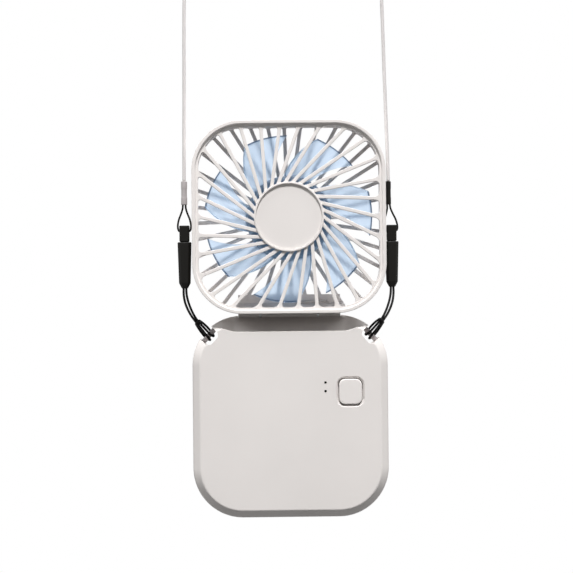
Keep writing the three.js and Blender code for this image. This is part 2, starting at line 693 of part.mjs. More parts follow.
function motorShaft() {
  const body = barY(SHAFT_RADIUS, ROTOR_FRONT + FIT, PLATE_FACE - FIT, 0, 0, SMALL_ROUND_STEPS);
  return piece('motor_shaft', body, material(STEEL, 0.2, 1));
}

function bearingSleeve() {
  const body = ringY(SHAFT_BORE, SLEEVE_RADIUS, MAGNET_FRONT, PLATE_FACE - FIT, SMALL_ROUND_STEPS * 2);
  return piece('bearing_sleeve', body, material(BRASS, 0.35, 1));
}

function woundStator() {
  let body = ringY(SLEEVE_RADIUS + FIT, STATOR_HUB_RADIUS, MAGNET_FRONT + AIR_GAP, STATOR_BACK);
  const toothWidth = (Math.PI * STATOR_HUB_RADIUS) / STATOR_TEETH;
  const shoeWidth = STATOR_SHOE_SPREAD * toothWidth;
  const middle = (MAGNET_FRONT + AIR_GAP + STATOR_BACK) / 2;
  const height = STATOR_BACK - MAGNET_FRONT - AIR_GAP;
  const toothEnd = Math.sqrt(STATOR_RADIUS ** 2 - (shoeWidth / 2) ** 2);
  for (let k = 0; k < STATOR_TEETH; k++) {
    const turn = (2 * Math.PI * k) / STATOR_TEETH;
    const tooth = new THREE.BoxGeometry(toothEnd - STATOR_HUB_RADIUS + STATOR_SHOE, height, toothWidth);
    tooth.translate((toothEnd + STATOR_HUB_RADIUS - STATOR_SHOE) / 2, middle, 0);
    tooth.rotateY(turn);
    const foot = new THREE.BoxGeometry(STATOR_SHOE, height, shoeWidth);
    foot.translate(toothEnd - STATOR_SHOE / 2, middle, 0);
    foot.rotateY(turn);
    body = body.add(solid(tooth)).add(solid(foot));
  }
  return piece('wound_stator', body, material(COPPER, 0.45, 0.6));
}

function motorBoard() {
  const inner = SLEEVE_RADIUS + 2 * FIT + MOTOR_BOSS_WALL;
  const body = ringY(inner, MOTOR_BOARD_RADIUS, PLATE_FACE - FIT - BOARD_THICKNESS, PLATE_FACE - FIT);
  return piece('motor_board', body, material(BOARD_GREEN, 0.5));
}

// The lead runs from the motor board behind one back bar and along the hinge band,
// then into the hollow hinge pin.
function motorLeadUpper() {
  const barTurn = THREE.MathUtils.degToRad(BAR_PHASE + 270);
  const onBar = (radius, y) => [radius * Math.cos(barTurn), y, radius * Math.sin(barTurn)];
  const overBoard = PLATE_FACE - 2 * FIT - BOARD_THICKNESS - LEAD_RADIUS;
  const overBar = PLATE_FACE - FIT - LEAD_RADIUS;
  const bandZ = LEAD_HOLE_TOP[2] + LEAD_RADIUS;
  const body = cord([
    onBar(MOTOR_BOARD_RADIUS - 3, overBoard), onBar(MOTOR_BOARD_RADIUS, overBoard),
    onBar(MOTOR_BOARD_RADIUS + 2.5, overBar), onBar(-bandZ - 14, overBar), onBar(-bandZ - 3, overBar),
    [4, overBar, bandZ], [LEAD_X - 5, overBar, bandZ], [LEAD_X - 1.2, overBar, bandZ - 0.2],
    [LEAD_X, HINGE_Y - HINGE_HUMP * 0.4, HINGE_Z + HINGE_HUMP * 0.8],
    [LEAD_X - 0.2, HINGE_Y - HINGE_HUMP * 0.17, HINGE_Z + HINGE_HUMP * 0.34],
    [LEAD_X - 1.2, HINGE_Y, HINGE_Z], [LEAD_X - 4, HINGE_Y, HINGE_Z],
    [HINGE_PIN_START + LEAD_RADIUS, HINGE_Y, HINGE_Z],
  ], LEAD_RADIUS, UPPER_LEAD_STEPS);
  return piece('motor_lead_upper', body, material(LEAD_GREY, 0.6));
}

// Hinge hardware

const PIN_END = OUTER_KNUCKLE_END - HINGE_PIN_INSET;

function hingePin() {
  const body = hingeBar(HINGE_PIN_RADIUS, -PIN_END, -HINGE_PIN_START);
  return piece('hinge_pin', body, material(STEEL, 0.3, 1));
}

function hingeTube() {
  const body = hingeBar(HINGE_PIN_RADIUS, HINGE_PIN_START, PIN_END)
    .subtract(hingeBar(HINGE_TUBE_BORE, HINGE_PIN_START - CUT_PAST, PIN_END + CUT_PAST))
    .subtract(leadHole());
  return piece('hinge_tube', body, material(STEEL, 0.3, 1));
}

function hingeWasher(name, side) {
  const middle = CENTRE_KNUCKLE_HALF + KNUCKLE_GAP / 2;
  const from = middle - WASHER_THICKNESS / 2;
  const to = middle + WASHER_THICKNESS / 2;
  const disc = sideHingeBar(WASHER_RADIUS, from, to, side);
  const body = disc.subtract(sideHingeBar(PIN_BORE, from - CUT_PAST, to + CUT_PAST, side));
  return piece(name, body, material(STEEL, 0.35, 1));
}

// Base

// The U-shaped notch in a top corner, widened by a margin and drawn along the corner's diagonal
function notch(side, margin, front, back) {
  const half = NOTCH_WIDTH / 2 + margin;
  const floor = NOTCH_FLOOR - margin;
  const far = floor + NOTCH_REACH;
  const corner = Math.min(NOTCH_CORNER + margin, half);
  const shape = new THREE.Shape();
  shape.moveTo(far, -half);
  shape.lineTo(far, half);
  shape.lineTo(floor + corner, half);
  shape.quadraticCurveTo(floor, half, floor, half - corner);
  shape.lineTo(floor, -half + corner);
  shape.quadraticCurveTo(floor, -half, floor + corner, -half);
  shape.closePath();
  const geometry = new THREE.ExtrudeGeometry(shape, {
    depth: back - front,
    bevelEnabled: false,
    curveSegments: CORNER_STEPS,
  });
  geometry.rotateX(Math.PI / 2);
  geometry.translate(0, back, 0);
  const turn = side === RIGHT ? NOTCH_ANGLE : 180 - NOTCH_ANGLE;
  geometry.rotateY(-THREE.MathUtils.degToRad(turn));
  geometry.translate(side * CORNER_X, 0, CORNER_Z);
  return solid(geometry);
}

// A point by a lanyard pin: outwards, along the pin and in depth from the pin's middle
function byLanyardPin(side, out, along, depth) {
  const turn = THREE.MathUtils.degToRad(NOTCH_ANGLE);
  const far = LANYARD_PIN_PLACE + out;
  return [
    side * (CORNER_X + Math.cos(turn) * far - Math.sin(turn) * along),
    BASE_JOINT + depth,
    CORNER_Z + Math.sin(turn) * far + Math.cos(turn) * along,
  ];
}

function lanyardPinEnds(side, halfLength) {
  return [-halfLength, halfLength].map((along) => byLanyardPin(side, 0, along, 0));
}

function lanyardPin(name, side) {
  const [low, high] = lanyardPinEnds(side, NOTCH_WIDTH / 2 + LANYARD_PIN_SEAT);
  return piece(name, barBetween(LANYARD_PIN_RADIUS, low, high), material(FERRULE_GREY, 0.4));
}

// The space that the tilted head needs: a cut that rises from the front edge of the cove to the back
function cove(lowered) {
  const shape = new THREE.Shape();
  const ear = BASE_TOP - COVE_EAR_DEPTH - lowered;
  const flat = BASE_TOP - COVE_DEPTH - lowered;
  const bend = (COVE_EAR_START - COVE_FLAT) / 2;
  const top = HEAD_HEIGHT / 2;
  shape.moveTo(-BASE_WIDTH, ear);
  shape.lineTo(-COVE_EAR_START, ear);
  shape.bezierCurveTo(-COVE_EAR_START + bend, ear, -COVE_FLAT - bend, flat, -COVE_FLAT, flat);
  shape.lineTo(COVE_FLAT, flat);
  shape.bezierCurveTo(COVE_FLAT + bend, flat, COVE_EAR_START - bend, ear, COVE_EAR_START, ear);
  shape.lineTo(BASE_WIDTH, ear);
  shape.lineTo(BASE_WIDTH, top);
  shape.lineTo(-BASE_WIDTH, top);
  shape.closePath();
  const geometry = new THREE.ExtrudeGeometry(shape, {
    depth: BASE_DEPTH + 2 * COVE_OVERRUN,
    bevelEnabled: false,
    curveSegments: CORNER_STEPS,
  });
  geometry.rotateX(Math.PI / 2);
  geometry.translate(0, BASE_DEPTH + COVE_OVERRUN, 0);
  const rise = Math.tan(THREE.MathUtils.degToRad(COVE_SLOPE));
  const shear = new THREE.Matrix4().set(1, 0, 0, 0, 0, 1, 0, BASE_FRONT, 0, rise, 1, 0, 0, 0, 0, 1);
  geometry.applyMatrix4(shear);
  return solid(geometry);
}

function baseSlab(sections) {
  return roundedSlab(BASE_WIDTH, BASE_HEIGHT, CORNER_RADIUS, BASE_MIDDLE, sections);
}

const SCREW_PLACES = [
  ['base_screw_upper_left', -(BASE_WIDTH / 2 - SCREW_SIDE_INSET), BASE_TOP - UPPER_SCREW_DROP],
  ['base_screw_upper_right', BASE_WIDTH / 2 - SCREW_SIDE_INSET, BASE_TOP - UPPER_SCREW_DROP],
  ['base_screw_lower_left', -(BASE_WIDTH / 2 - LOWER_SCREW_INSET), BASE_BOTTOM + LOWER_SCREW_RISE],
  ['base_screw_lower_right', BASE_WIDTH / 2 - LOWER_SCREW_INSET, BASE_BOTTOM + LOWER_SCREW_RISE],
];
const SCREW_HEAD_SEAT = -SCREW_SINK - SCREW_HEAD_HEIGHT;

// The hollow base before it is split into its two covers
function baseShell() {
  const outside = baseSlab([[BASE_FRONT, BASE_BEVEL], [BASE_FRONT + BASE_BEVEL, 0], [-BASE_BACK_EDGE, 0],
    [0, BASE_BACK_EDGE]]);
  const bevelInside = BASE_BEVEL + BASE_WALL * MITRE;
  let room = baseSlab([[BASE_FRONT_INSIDE, bevelInside], [BASE_FRONT + bevelInside, BASE_WALL],
    [BASE_BACK_INSIDE, BASE_WALL]]);
  room = room.subtract(cove(BASE_WALL))
    .subtract(hingeBar(HINGE_HUMP, -OUTER_KNUCKLE_END - HINGE_WALL, OUTER_KNUCKLE_END + HINGE_WALL));
  let shell = outside;
  for (const side of [LEFT, RIGHT]) {
    room = room.subtract(notch(side, BASE_WALL, BASE_FRONT - CUT_PAST, CUT_PAST));
    shell = shell.subtract(notch(side, 0, BASE_FRONT - CUT_PAST, CUT_PAST));
  }
  for (const [, x, z] of SCREW_PLACES) {
    room = room.subtract(barY(BOSS_RADIUS, BASE_FRONT, 0, x, z, HINGE_ROUND_STEPS));
  }
  shell = shell.subtract(cove(0)).subtract(room);
  shell = shell.add(hingeBar(KNUCKLE_RADIUS, -CENTRE_KNUCKLE_HALF, CENTRE_KNUCKLE_HALF));
  for (const side of [LEFT, RIGHT]) {
    const start = OUTER_KNUCKLE_START - KNUCKLE_GAP;
    shell = shell.subtract(sideHingeBar(KNUCKLE_ROOM, start, OUTER_KNUCKLE_END + RUNNING_GAP, side));
    const [low, high] = lanyardPinEnds(side, NOTCH_WIDTH / 2 + LANYARD_PIN_SEAT + FIT);
    shell = shell.subtract(barBetween(LANYARD_PIN_RADIUS + FIT, low, high));
  }
  for (const [, x, z] of SCREW_PLACES) {
    const end = SCREW_HEAD_SEAT - SCREW_LENGTH - FIT;
    shell = shell.subtract(barY(SCREW_RADIUS + FIT, end, CUT_PAST, x, z, SMALL_ROUND_STEPS))
      .subtract(barY(SCREW_HEAD_RADIUS + FIT, SCREW_HEAD_SEAT - FIT, CUT_PAST, x, z, HINGE_ROUND_STEPS));
  }
  const boreHalf = CENTRE_KNUCKLE_HALF + CUT_PAST;
  const leadWay = [0, HINGE_Y - HINGE_HUMP, HINGE_Z - 2 * HINGE_HUMP];
  shell = shell.subtract(hingeBar(PIN_BORE, -boreHalf, boreHalf))
    .subtract(barBetween(LEAD_HOLE + FIT, [0, HINGE_Y, HINGE_Z], leadWay));
  const mouth = block(USB_WIDTH + 2 * FIT, 4 * BASE_WALL, USB_FRONT - FIT, USB_FRONT + USB_THICKNESS + FIT,
    USB_X, BASE_BOTTOM);
  return shell.subtract(mouth);
}

const USB_FRONT = BOARD_BACK + FIT;
const CELL_BACK = BASE_BACK_INSIDE - 2 * FIT - PAD_THICKNESS;
const CELL_FRONT = CELL_BACK - CELL_THICKNESS;
const CELL_X = (CELL_LEFT + CELL_RIGHT) / 2;
const CELL_Z = (CELL_TOP + CELL_BOTTOM) / 2;
const CELL_WIDTH = CELL_RIGHT - CELL_LEFT;
const CELL_HEIGHT = CELL_TOP - CELL_BOTTOM;
const BOARD_BOTTOM = BASE_BOTTOM + BASE_WALL + FIT;
const BOARD_X = (BOARD_LEFT + BOARD_RIGHT) / 2;
const BOARD_Z = (BOARD_TOP + BOARD_BOTTOM) / 2;

function frontCoverFittings(cover) {
  const hole = roundedSlab(BUTTON_WIDTH + 2 * FIT, BUTTON_HEIGHT + 2 * FIT, BUTTON_CORNER + FIT, BUTTON_Z,
    [[BASE_FRONT - CUT_PAST, 0], [BASE_FRONT_INSIDE + CUT_PAST, 0]], BUTTON_X);
  const dish = roundedSlab(BUTTON_WIDTH + 2 * FIT, BUTTON_HEIGHT + 2 * FIT, BUTTON_CORNER + FIT, BUTTON_Z,
    [[BASE_FRONT - BUTTON_DISH, -2 * BUTTON_DISH], [BASE_FRONT + BUTTON_DISH, 0]], BUTTON_X);
  let body = cover.subtract(hole).subtract(dish);
  for (const z of [LED_UPPER_Z, LED_LOWER_Z]) {
    body = body.subtract(barY(LED_RADIUS + TIGHT_FIT, BASE_FRONT - CUT_PAST, BASE_FRONT_INSIDE + CUT_PAST,
      LED_X, z, SMALL_ROUND_STEPS));
  }
  const inWall = BASE_FRONT_INSIDE - BASE_WALL / 2;
  for (const z of [CELL_Z - CELL_HEIGHT / 4, CELL_Z + CELL_HEIGHT / 4]) {
    body = body.add(block(CELL_WIDTH / 2, RIB_WIDTH, inWall, CELL_FRONT - FIT, CELL_X, z));
  }
  const standoffs = [
    BOARD_TOP - 2 * STANDOFF_RADIUS,
    BOARD_Z - 4 * STANDOFF_RADIUS,
    BOARD_BOTTOM + 8 * STANDOFF_RADIUS,
  ];
  for (const z of standoffs) {
    body = body.add(barY(STANDOFF_RADIUS, inWall, BOARD_FRONT - FIT, STANDOFF_X, z, SMALL_ROUND_STEPS));
  }
  return body;
}

function baseCovers() {
  const shell = baseShell();
  const front = block(FAR, 2 * FAR, -FAR, BASE_JOINT - FIT / 2, 0, 0);
  const back = block(FAR, 2 * FAR, BASE_JOINT + FIT / 2, FAR, 0, 0);
  return [
    piece('base_front_cover', frontCoverFittings(shell.intersect(front)), material(SHELL_WHITE, 0.55)),
    piece('base_back_cover', shell.intersect(back), material(SHELL_WHITE, 0.55)),
  ];
}

function baseScrew(name, x, z) {
  const body = barY(SCREW_RADIUS, SCREW_HEAD_SEAT - SCREW_LENGTH, SCREW_HEAD_SEAT, x, z, SMALL_ROUND_STEPS)
    .add(barY(SCREW_HEAD_RADIUS, SCREW_HEAD_SEAT - FIT / 2, -SCREW_SINK, x, z, HINGE_ROUND_STEPS));
  return piece(name, body, material(STEEL, 0.35, 1));
}

const FLANGE_FRONT = BASE_FRONT_INSIDE + FIT;
const FLANGE_BACK = FLANGE_FRONT + BUTTON_FLANGE_THICKNESS;
const PLUNGER_FRONT = FLANGE_BACK + FIT;
const SWITCH_BACK = BOARD_FRONT - FIT;
const SWITCH_FRONT = SWITCH_BACK - SWITCH_HEIGHT;

function powerButton() {
  const face = BASE_FRONT - BUTTON_RISE;
  const cap = roundedSlab(BUTTON_WIDTH, BUTTON_HEIGHT, BUTTON_CORNER, BUTTON_Z,
    [[face, BUTTON_SOFT], [face + BUTTON_SOFT / 2, 0], [FLANGE_BACK, 0]], BUTTON_X);
  const flange = roundedSlab(BUTTON_WIDTH, BUTTON_HEIGHT, BUTTON_CORNER, BUTTON_Z,
    [[FLANGE_FRONT, -BUTTON_FLANGE], [FLANGE_BACK, -BUTTON_FLANGE]], BUTTON_X);
  return piece('power_button', cap.add(flange), material(SHELL_WHITE, 0.5));
}

function switchPlunger() {
  const end = PLUNGER_FRONT + PLUNGER_LENGTH;
  const body = barY(PLUNGER_RADIUS, PLUNGER_FRONT, end, BUTTON_X, BUTTON_Z, SMALL_ROUND_STEPS);
  return piece('switch_plunger', body, material(BUCKLE_BLACK, 0.5));
}

function tactSwitch() {
  const floor = SWITCH_FRONT + SWITCH_WELL + BUTTON_TRAVEL;
  const well = barY(PLUNGER_RADIUS + FIT, SWITCH_FRONT - CUT_PAST, floor, BUTTON_X, BUTTON_Z,
    SMALL_ROUND_STEPS);
  const body = block(SWITCH_SIZE, SWITCH_SIZE, SWITCH_FRONT, SWITCH_BACK, BUTTON_X, BUTTON_Z)
    .subtract(well);
  return piece('tact_switch', body, material(MAGNET_GREY, 0.5));
}

function statusLight(name, z) {
  const body = barY(LED_RADIUS, BASE_FRONT + LED_SINK, BOARD_FRONT - FIT, LED_X, z, SMALL_ROUND_STEPS);
  return piece(name, body, material(BUCKLE_BLACK, 0.3));
}

function circuitBoard() {
  const corner = baseSlab([[BASE_FRONT, BASE_WALL + FIT], [0, BASE_WALL + FIT]]);
  const blank = block(BOARD_RIGHT - BOARD_LEFT, BOARD_TOP - BOARD_BOTTOM, BOARD_FRONT, BOARD_BACK,
    BOARD_X, BOARD_Z);
  let body = blank.intersect(corner);
  for (const [, x, z] of SCREW_PLACES) {
    body = body.subtract(barY(BOSS_RADIUS + FIT, BOARD_FRONT - CUT_PAST, BOARD_BACK + CUT_PAST, x, z,
      HINGE_ROUND_STEPS));
  }
  return piece('circuit_board', body, material(BOARD_GREEN, 0.5));
}

function chargingSocket() {
  const low = BASE_BOTTOM + FIT;
  const z = low + USB_LENGTH / 2;
  const y = USB_FRONT + USB_THICKNESS / 2;
  const corner = USB_THICKNESS / 2 - USB_SHELL / 8;
  const upright = (inset, from, to) => {
    const width = USB_WIDTH - 2 * inset;
    const thickness = USB_THICKNESS - 2 * inset;
    const outline = roundedOutline(width, thickness, corner - inset, USB_X, y);
    const shape = new THREE.Shape(outline.map((point) => new THREE.Vector2(...point)));
    const geometry = new THREE.ExtrudeGeometry(shape, { depth: to - from, bevelEnabled: false });
    geometry.translate(0, 0, from);
    return solid(geometry);
  };
  const shell = upright(0, low, low + USB_LENGTH)
    .subtract(upright(USB_SHELL, low - CUT_PAST, low + USB_LENGTH - USB_SHELL));
  const tongueDepth = USB_LENGTH - USB_SHELL - 2 * FIT;
  const tongue = box(USB_TONGUE_WIDTH, USB_TONGUE_THICKNESS, tongueDepth, USB_X, y, z);
  return [
    piece('charging_socket', shell, material(STEEL, 0.3, 1)),
    piece('charging_socket_tongue', tongue, material(MAGNET_GREY, 0.5)),
  ];
}

function boardPart(name, size, height, z, look) {
  const body = block(size, size, BOARD_BACK + FIT, BOARD_BACK + FIT + height, BOARD_X, z);
  return piece(name, body, look);
}

function batteryCell() {
  const body = roundedSlab(CELL_WIDTH, CELL_HEIGHT, CELL_EDGE, CELL_Z,
    [
      [CELL_FRONT, CELL_BEVEL],
      [CELL_FRONT + CELL_BEVEL, 0],
      [CELL_BACK - CELL_BEVEL, 0],
      [CELL_BACK, CELL_BEVEL],
    ], CELL_X);
  return piece('battery_cell', body, material(CELL_SILVER, 0.4, 0.4));
}

function batteryPad() {
  const front = CELL_BACK + FIT;
  const body = block(CELL_WIDTH - PAD_MARGIN, CELL_HEIGHT - PAD_MARGIN, front, front + PAD_THICKNESS,
    CELL_X, CELL_Z);
  return piece('battery_pad', body, material(PAD_GREY, 0.9));
}

function batteryLead() {
  const y = BOARD_BACK + FIT + LEAD_RADIUS;
  const top = CELL_TOP + FIT;
  const body = cord([
    [CELL_RIGHT - 8, y, top], [CELL_RIGHT - 8, y, top + 1.6], [CELL_RIGHT - 6.4, y, top + 3.2],
    [CELL_RIGHT - 1, y, top + 3.2], [BOARD_LEFT + 1, y, top + 3], [BOARD_LEFT + 5, y, top + 1],
  ], LEAD_RADIUS, BATTERY_LEAD_STEPS);
  return piece('battery_lead', body, material(LEAD_GREY, 0.6));
}

function motorLeadLower() {
  const y = BOARD_BACK + FIT + LEAD_RADIUS;
  const body = cord([
    [HINGE_PIN_START - FIT, HINGE_Y, HINGE_Z], [2.2, HINGE_Y, HINGE_Z], [0.6, HINGE_Y - 0.3, HINGE_Z - 0.8],
    [0, HINGE_Y - HINGE_HUMP * 0.3, HINGE_Z - HINGE_HUMP * 0.6],
    [0, HINGE_Y - HINGE_HUMP * 0.6, HINGE_Z - HINGE_HUMP * 1.2],
    [0.2, HINGE_Y - HINGE_HUMP, HINGE_Z - HINGE_HUMP * 2], [4, y + 1, BOARD_TOP - 1],
    [BOARD_LEFT + 2, y, BOARD_TOP - 3], [BOARD_LEFT + 6, y, BOARD_TOP - 4],
  ], LEAD_RADIUS, LOWER_LEAD_STEPS);
  return piece('motor_lead_lower', body, material(LEAD_GREY, 0.6));
}

// Lanyard

// The neck string: two taut legs and the arch that goes round the neck
const STRING_POINTS = [
  [LEFT_CORD_X, LEFT_CORD_Y, FERRULE_TOP + FIT], [LEFT_CORD_X + 0.05, LEFT_CORD_Y, 24],
  [LEFT_CORD_X + 0.4, LEFT_CORD_Y, 60], [LEFT_CORD_X + 0.8, -13.9, 100], [LEFT_CORD_X + 1.6, -13.4, 118],
  [-42.8, -12.5, 134], [-32.5, -11.3, 147], [-17, -10.3, 153.4], [0, CROWN_Y, CROWN_Z], [17, -8.7, 153.4],
  [31.2, -7.7, 147], [40.6, -6.5, 134], [RIGHT_FERRULE_X - 2.8, -5.6, 118],
  [RIGHT_FERRULE_X - 2.1, -5.1, 100], [RIGHT_FERRULE_X - 1.1, RIGHT_CORD_Y, 60],
  [RIGHT_FERRULE_X - 0.1, RIGHT_CORD_Y, 24], [RIGHT_FERRULE_X, RIGHT_CORD_Y, FERRULE_TOP + FIT],
];

function neckString() {
  return piece('neck_string', cord(STRING_POINTS, STRING_RADIUS, STRING_STEPS), material(STRING_GREY, 0.8));
}

function ferrule(name, x, y, radius, look) {
  const geometry = new THREE.CylinderGeometry(radius, radius, FERRULE_LENGTH, SMALL_ROUND_STEPS);
  geometry.rotateX(Math.PI / 2);
  geometry.translate(x, y, FERRULE_TOP - FERRULE_LENGTH / 2);
  return piece(name, solid(geometry), look);
}

// Half of the thin loop between ferrule and buckle tip: sideways distance and height
const UPPER_LOOP_HALF = [
  [0.6, FERRULE_BOTTOM - FIT], [0.8, TIP_HOLE_Z + 10.5], [1.6, TIP_HOLE_Z + 8], [2.5, TIP_HOLE_Z + 5.7],
  [3, TIP_HOLE_Z + 3.3], [3, TIP_HOLE_Z + 1.6], [2.55, TIP_HOLE_Z + 0.35], [1.4, TIP_HOLE_Z],
];

// The loop leans from the buckle tip to its ferrule
function upperLoop(name, x, y, ferruleX) {
  const lean = (ferruleX - x) / (FERRULE_BOTTOM - TIP_HOLE_Z);
  const middle = (z) => x + lean * (z - TIP_HOLE_Z);
  const left = UPPER_LOOP_HALF.map(([out, z]) => [middle(z) - out, y, z]);
  const right = UPPER_LOOP_HALF.map(([out, z]) => [middle(z) + out, y, z]).reverse();
  const points = [...left, [x, y, TIP_HOLE_Z], ...right];
  return piece(name, cord(points, LOOP_RADIUS, UPPER_LOOP_STEPS), material(BUCKLE_BLACK, 0.7));
}

function buckleTip(name, x, y) {
  const half = TIP_WIDTH / 2;
  const end = TIP_BOTTOM - TONGUE_LENGTH;
  const tongueTop = TIP_BOTTOM + CUT_PAST;
  const shape = new THREE.Shape();
  shape.moveTo(x - half, TIP_BOTTOM);
  shape.lineTo(x + half, TIP_BOTTOM);
  shape.lineTo(x + half, TIP_TOP - TIP_CORNER);
  shape.quadraticCurveTo(x + half, TIP_TOP, x + half - TIP_CORNER, TIP_TOP);
  shape.lineTo(x - half + TIP_CORNER, TIP_TOP);
  shape.quadraticCurveTo(x - half, TIP_TOP, x - half, TIP_TOP - TIP_CORNER);
  shape.closePath();
  const hole = barX(LOOP_RADIUS + RUNNING_GAP, x - TIP_WIDTH, x + TIP_WIDTH, y, TIP_HOLE_Z,
    SMALL_ROUND_STEPS);
  const body = prism(shape, y - TIP_DEPTH / 2, y + TIP_DEPTH / 2)
    .subtract(hole)
    .add(box(TONGUE_WIDTH, TONGUE_DEPTH, tongueTop - end, x, y, (tongueTop + end) / 2));
  return piece(name, body, material(BUCKLE_BLACK, 0.45));
}

function buckleBody(name, x, y) {
  const top = BUCKLE_TOP_WIDTH / 2 - BUCKLE_EDGE;
  const low = BUCKLE_LOW_WIDTH / 2 - BUCKLE_EDGE;
  const foot = BUCKLE_FOOT_WIDTH / 2 - BUCKLE_EDGE;
  const shape = new THREE.Shape();
  shape.moveTo(x - top, BUCKLE_TOP - BUCKLE_EDGE);
  shape.lineTo(x - low, BUCKLE_BOTTOM + BUCKLE_CHAMFER);
  shape.lineTo(x - foot, BUCKLE_BOTTOM + BUCKLE_EDGE);
  shape.lineTo(x + foot, BUCKLE_BOTTOM + BUCKLE_EDGE);
  shape.lineTo(x + low, BUCKLE_BOTTOM + BUCKLE_CHAMFER);
  shape.lineTo(x + top, BUCKLE_TOP - BUCKLE_EDGE);
  shape.closePath();
  const geometry = new THREE.ExtrudeGeometry(shape, {
    depth: BUCKLE_DEPTH - 2 * BUCKLE_EDGE,
    bevelEnabled: true,
    bevelThickness: BUCKLE_EDGE,
    bevelSize: BUCKLE_EDGE,
    bevelSegments: 1,
  });
  geometry.rotateX(Math.PI / 2);
  geometry.translate(0, y + BUCKLE_DEPTH / 2 - BUCKLE_EDGE, 0);
  const socketTop = BUCKLE_TOP + CUT_PAST;
  const socketEnd = TIP_BOTTOM - TONGUE_LENGTH - FIT;
  const socket = box(TONGUE_WIDTH + 2 * FIT, TONGUE_DEPTH + 2 * FIT, socketTop - socketEnd, x, y,
    (socketTop + socketEnd) / 2);
  return piece(name, solid(geometry).subtract(socket), material(BUCKLE_BLACK, 0.45));
}

// One strand of the lower loop from the buckle to the hitch: x from the buckle's middle line, depth, height
const LEFT_STRAND = [
  [0, LEFT_CORD_Y, BUCKLE_BOTTOM - FIT], [0.1, -13.9, -35.4], [0.8, -13.6, -39.6], [2.4, -13.2, -44.4],
];
const RIGHT_STRAND = [
  [0, RIGHT_CORD_Y, BUCKLE_BOTTOM - FIT], [-0.1, -5.6, -35.4], [-0.8, -7.6, -39.6], [-2.4, -10.4, -44.4],
];
const STRAND_SPREAD = 0.75; // half the distance between the two strands

// Half of the cow hitch round a lanyard pin: outwards, along the pin and in depth from the pin's middle
const HITCH_HALF = [
  [8.35, 0.75, -3.1], [5, 0.8, -2.6], [2.2, 0.85, -2.15], [0, 0.95, -1.95], [-1.4, 1.1, -1.4],
  [-1.95, 1.3, 0], [-1.4, 1.5, 1.4], [0, 1.7, 1.95], [2.5, 1.9, 1.9], [5.5, 2.1, 1.2], [7.6, 2.15, -0.6],
  [8.3, 1.9, -2.8], [8.35, 1, -4.2],
];
const HITCH_CROSSING = [8.35, 0, -4.5];

function lowerLoop(name, side, cordX, strand) {
  const strandOf = (inner) => [
    ...strand.map(([x, y, z]) => [cordX + x - side * inner * STRAND_SPREAD, y, z]),
    ...HITCH_HALF.map(([out, along, depth]) => byLanyardPin(side, out, inner * along, depth)),
  ];
  const crossing = byLanyardPin(side, ...HITCH_CROSSING);
  const points = [...strandOf(1), crossing, ...strandOf(-1).reverse()];
  return piece(name, cord(points, LOWER_CORD_RADIUS, LOWER_LOOP_STEPS), material(BUCKLE_BLACK, 0.75));
}

// Assembly

const base = new THREE.Group();
base.add(...baseCovers());
for (const [name, x, z] of SCREW_PLACES) base.add(baseScrew(name, x, z));
base.add(
  circuitBoard(),
  tactSwitch(),
  statusLight('status_light_upper', LED_UPPER_Z),
  statusLight('status_light_lower', LED_LOWER_Z),
  ...chargingSocket(),
  boardPart('control_chip', CHIP_SIZE, CHIP_HEIGHT, BUTTON_Z, material(BUCKLE_BLACK, 0.5)),
  boardPart('charging_coil', COIL_SIZE, COIL_HEIGHT, BUTTON_Z - 3 * COIL_SIZE, material(MAGNET_GREY, 0.6)),
  batteryCell(),
  batteryPad(),
  batteryLead(),
  motorLeadLower(),
  hingeWasher('hinge_washer_left', LEFT),
  hingeWasher('hinge_washer_right', RIGHT),
  lanyardPin('lanyard_pin_left', LEFT),
  lanyardPin('lanyard_pin_right', RIGHT),
  buckleBody('buckle_body_left', LEFT_CORD_X, LEFT_CORD_Y),
  buckleBody('buckle_body_right', RIGHT_CORD_X, RIGHT_CORD_Y),
  lowerLoop('lower_loop_left', LEFT, LEFT_CORD_X, LEFT_STRAND),
  lowerLoop('lower_loop_right', RIGHT, RIGHT_CORD_X, RIGHT_STRAND),
);

const button = new THREE.Group();
button.add(powerButton(), switchPlunger());

const head = new THREE.Group();
head.add(
  headFrontCover(),
  hubCap(),
  headBackCover(),
  bearingSleeve(),
  woundStator(),
  motorBoard(),
  motorLeadUpper(),
  hingePin(),
  hingeTube(),
);

const rotor = new THREE.Group();
rotor.add(impeller(), rotorYoke(), magnetRing(), motorShaft());

const lanyard = new THREE.Group();
lanyard.add(
  neckString(),
  ferrule('ferrule_left', LEFT_CORD_X, LEFT_CORD_Y, LEFT_FERRULE_RADIUS, material(FERRULE_GREY, 0.5)),
  ferrule('ferrule_right', RIGHT_FERRULE_X, RIGHT_CORD_Y, RIGHT_FERRULE_RADIUS, material(BUCKLE_BLACK, 0.5)),
  upperLoop('upper_loop_left', LEFT_CORD_X, LEFT_CORD_Y, LEFT_CORD_X),
  upperLoop('upper_loop_right', RIGHT_CORD_X, RIGHT_CORD_Y, RIGHT_FERRULE_X),
  buckleTip('buckle_tip_left', LEFT_CORD_X, LEFT_CORD_Y),
  buckleTip('buckle_tip_right', RIGHT_CORD_X, RIGHT_CORD_Y),
);

const fan = new THREE.Group();
fan.position.set(0, -CROWN_Y, -CROWN_Z);
fan.add(base, button, head, rotor, lanyard);

const neckFan = new THREE.Group();
neckFan.add(fan);

export default neckFan;
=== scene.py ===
# %% [markdown]
# # A folding neck fan
# This lesson dresses a small fan that hangs from a neck string: a square fan head, a battery base of the
# same width, and two quick-release buckles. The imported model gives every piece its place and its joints,
# so the first step loads it as a fixed frame. Everything made here sits in that frame, in metres.

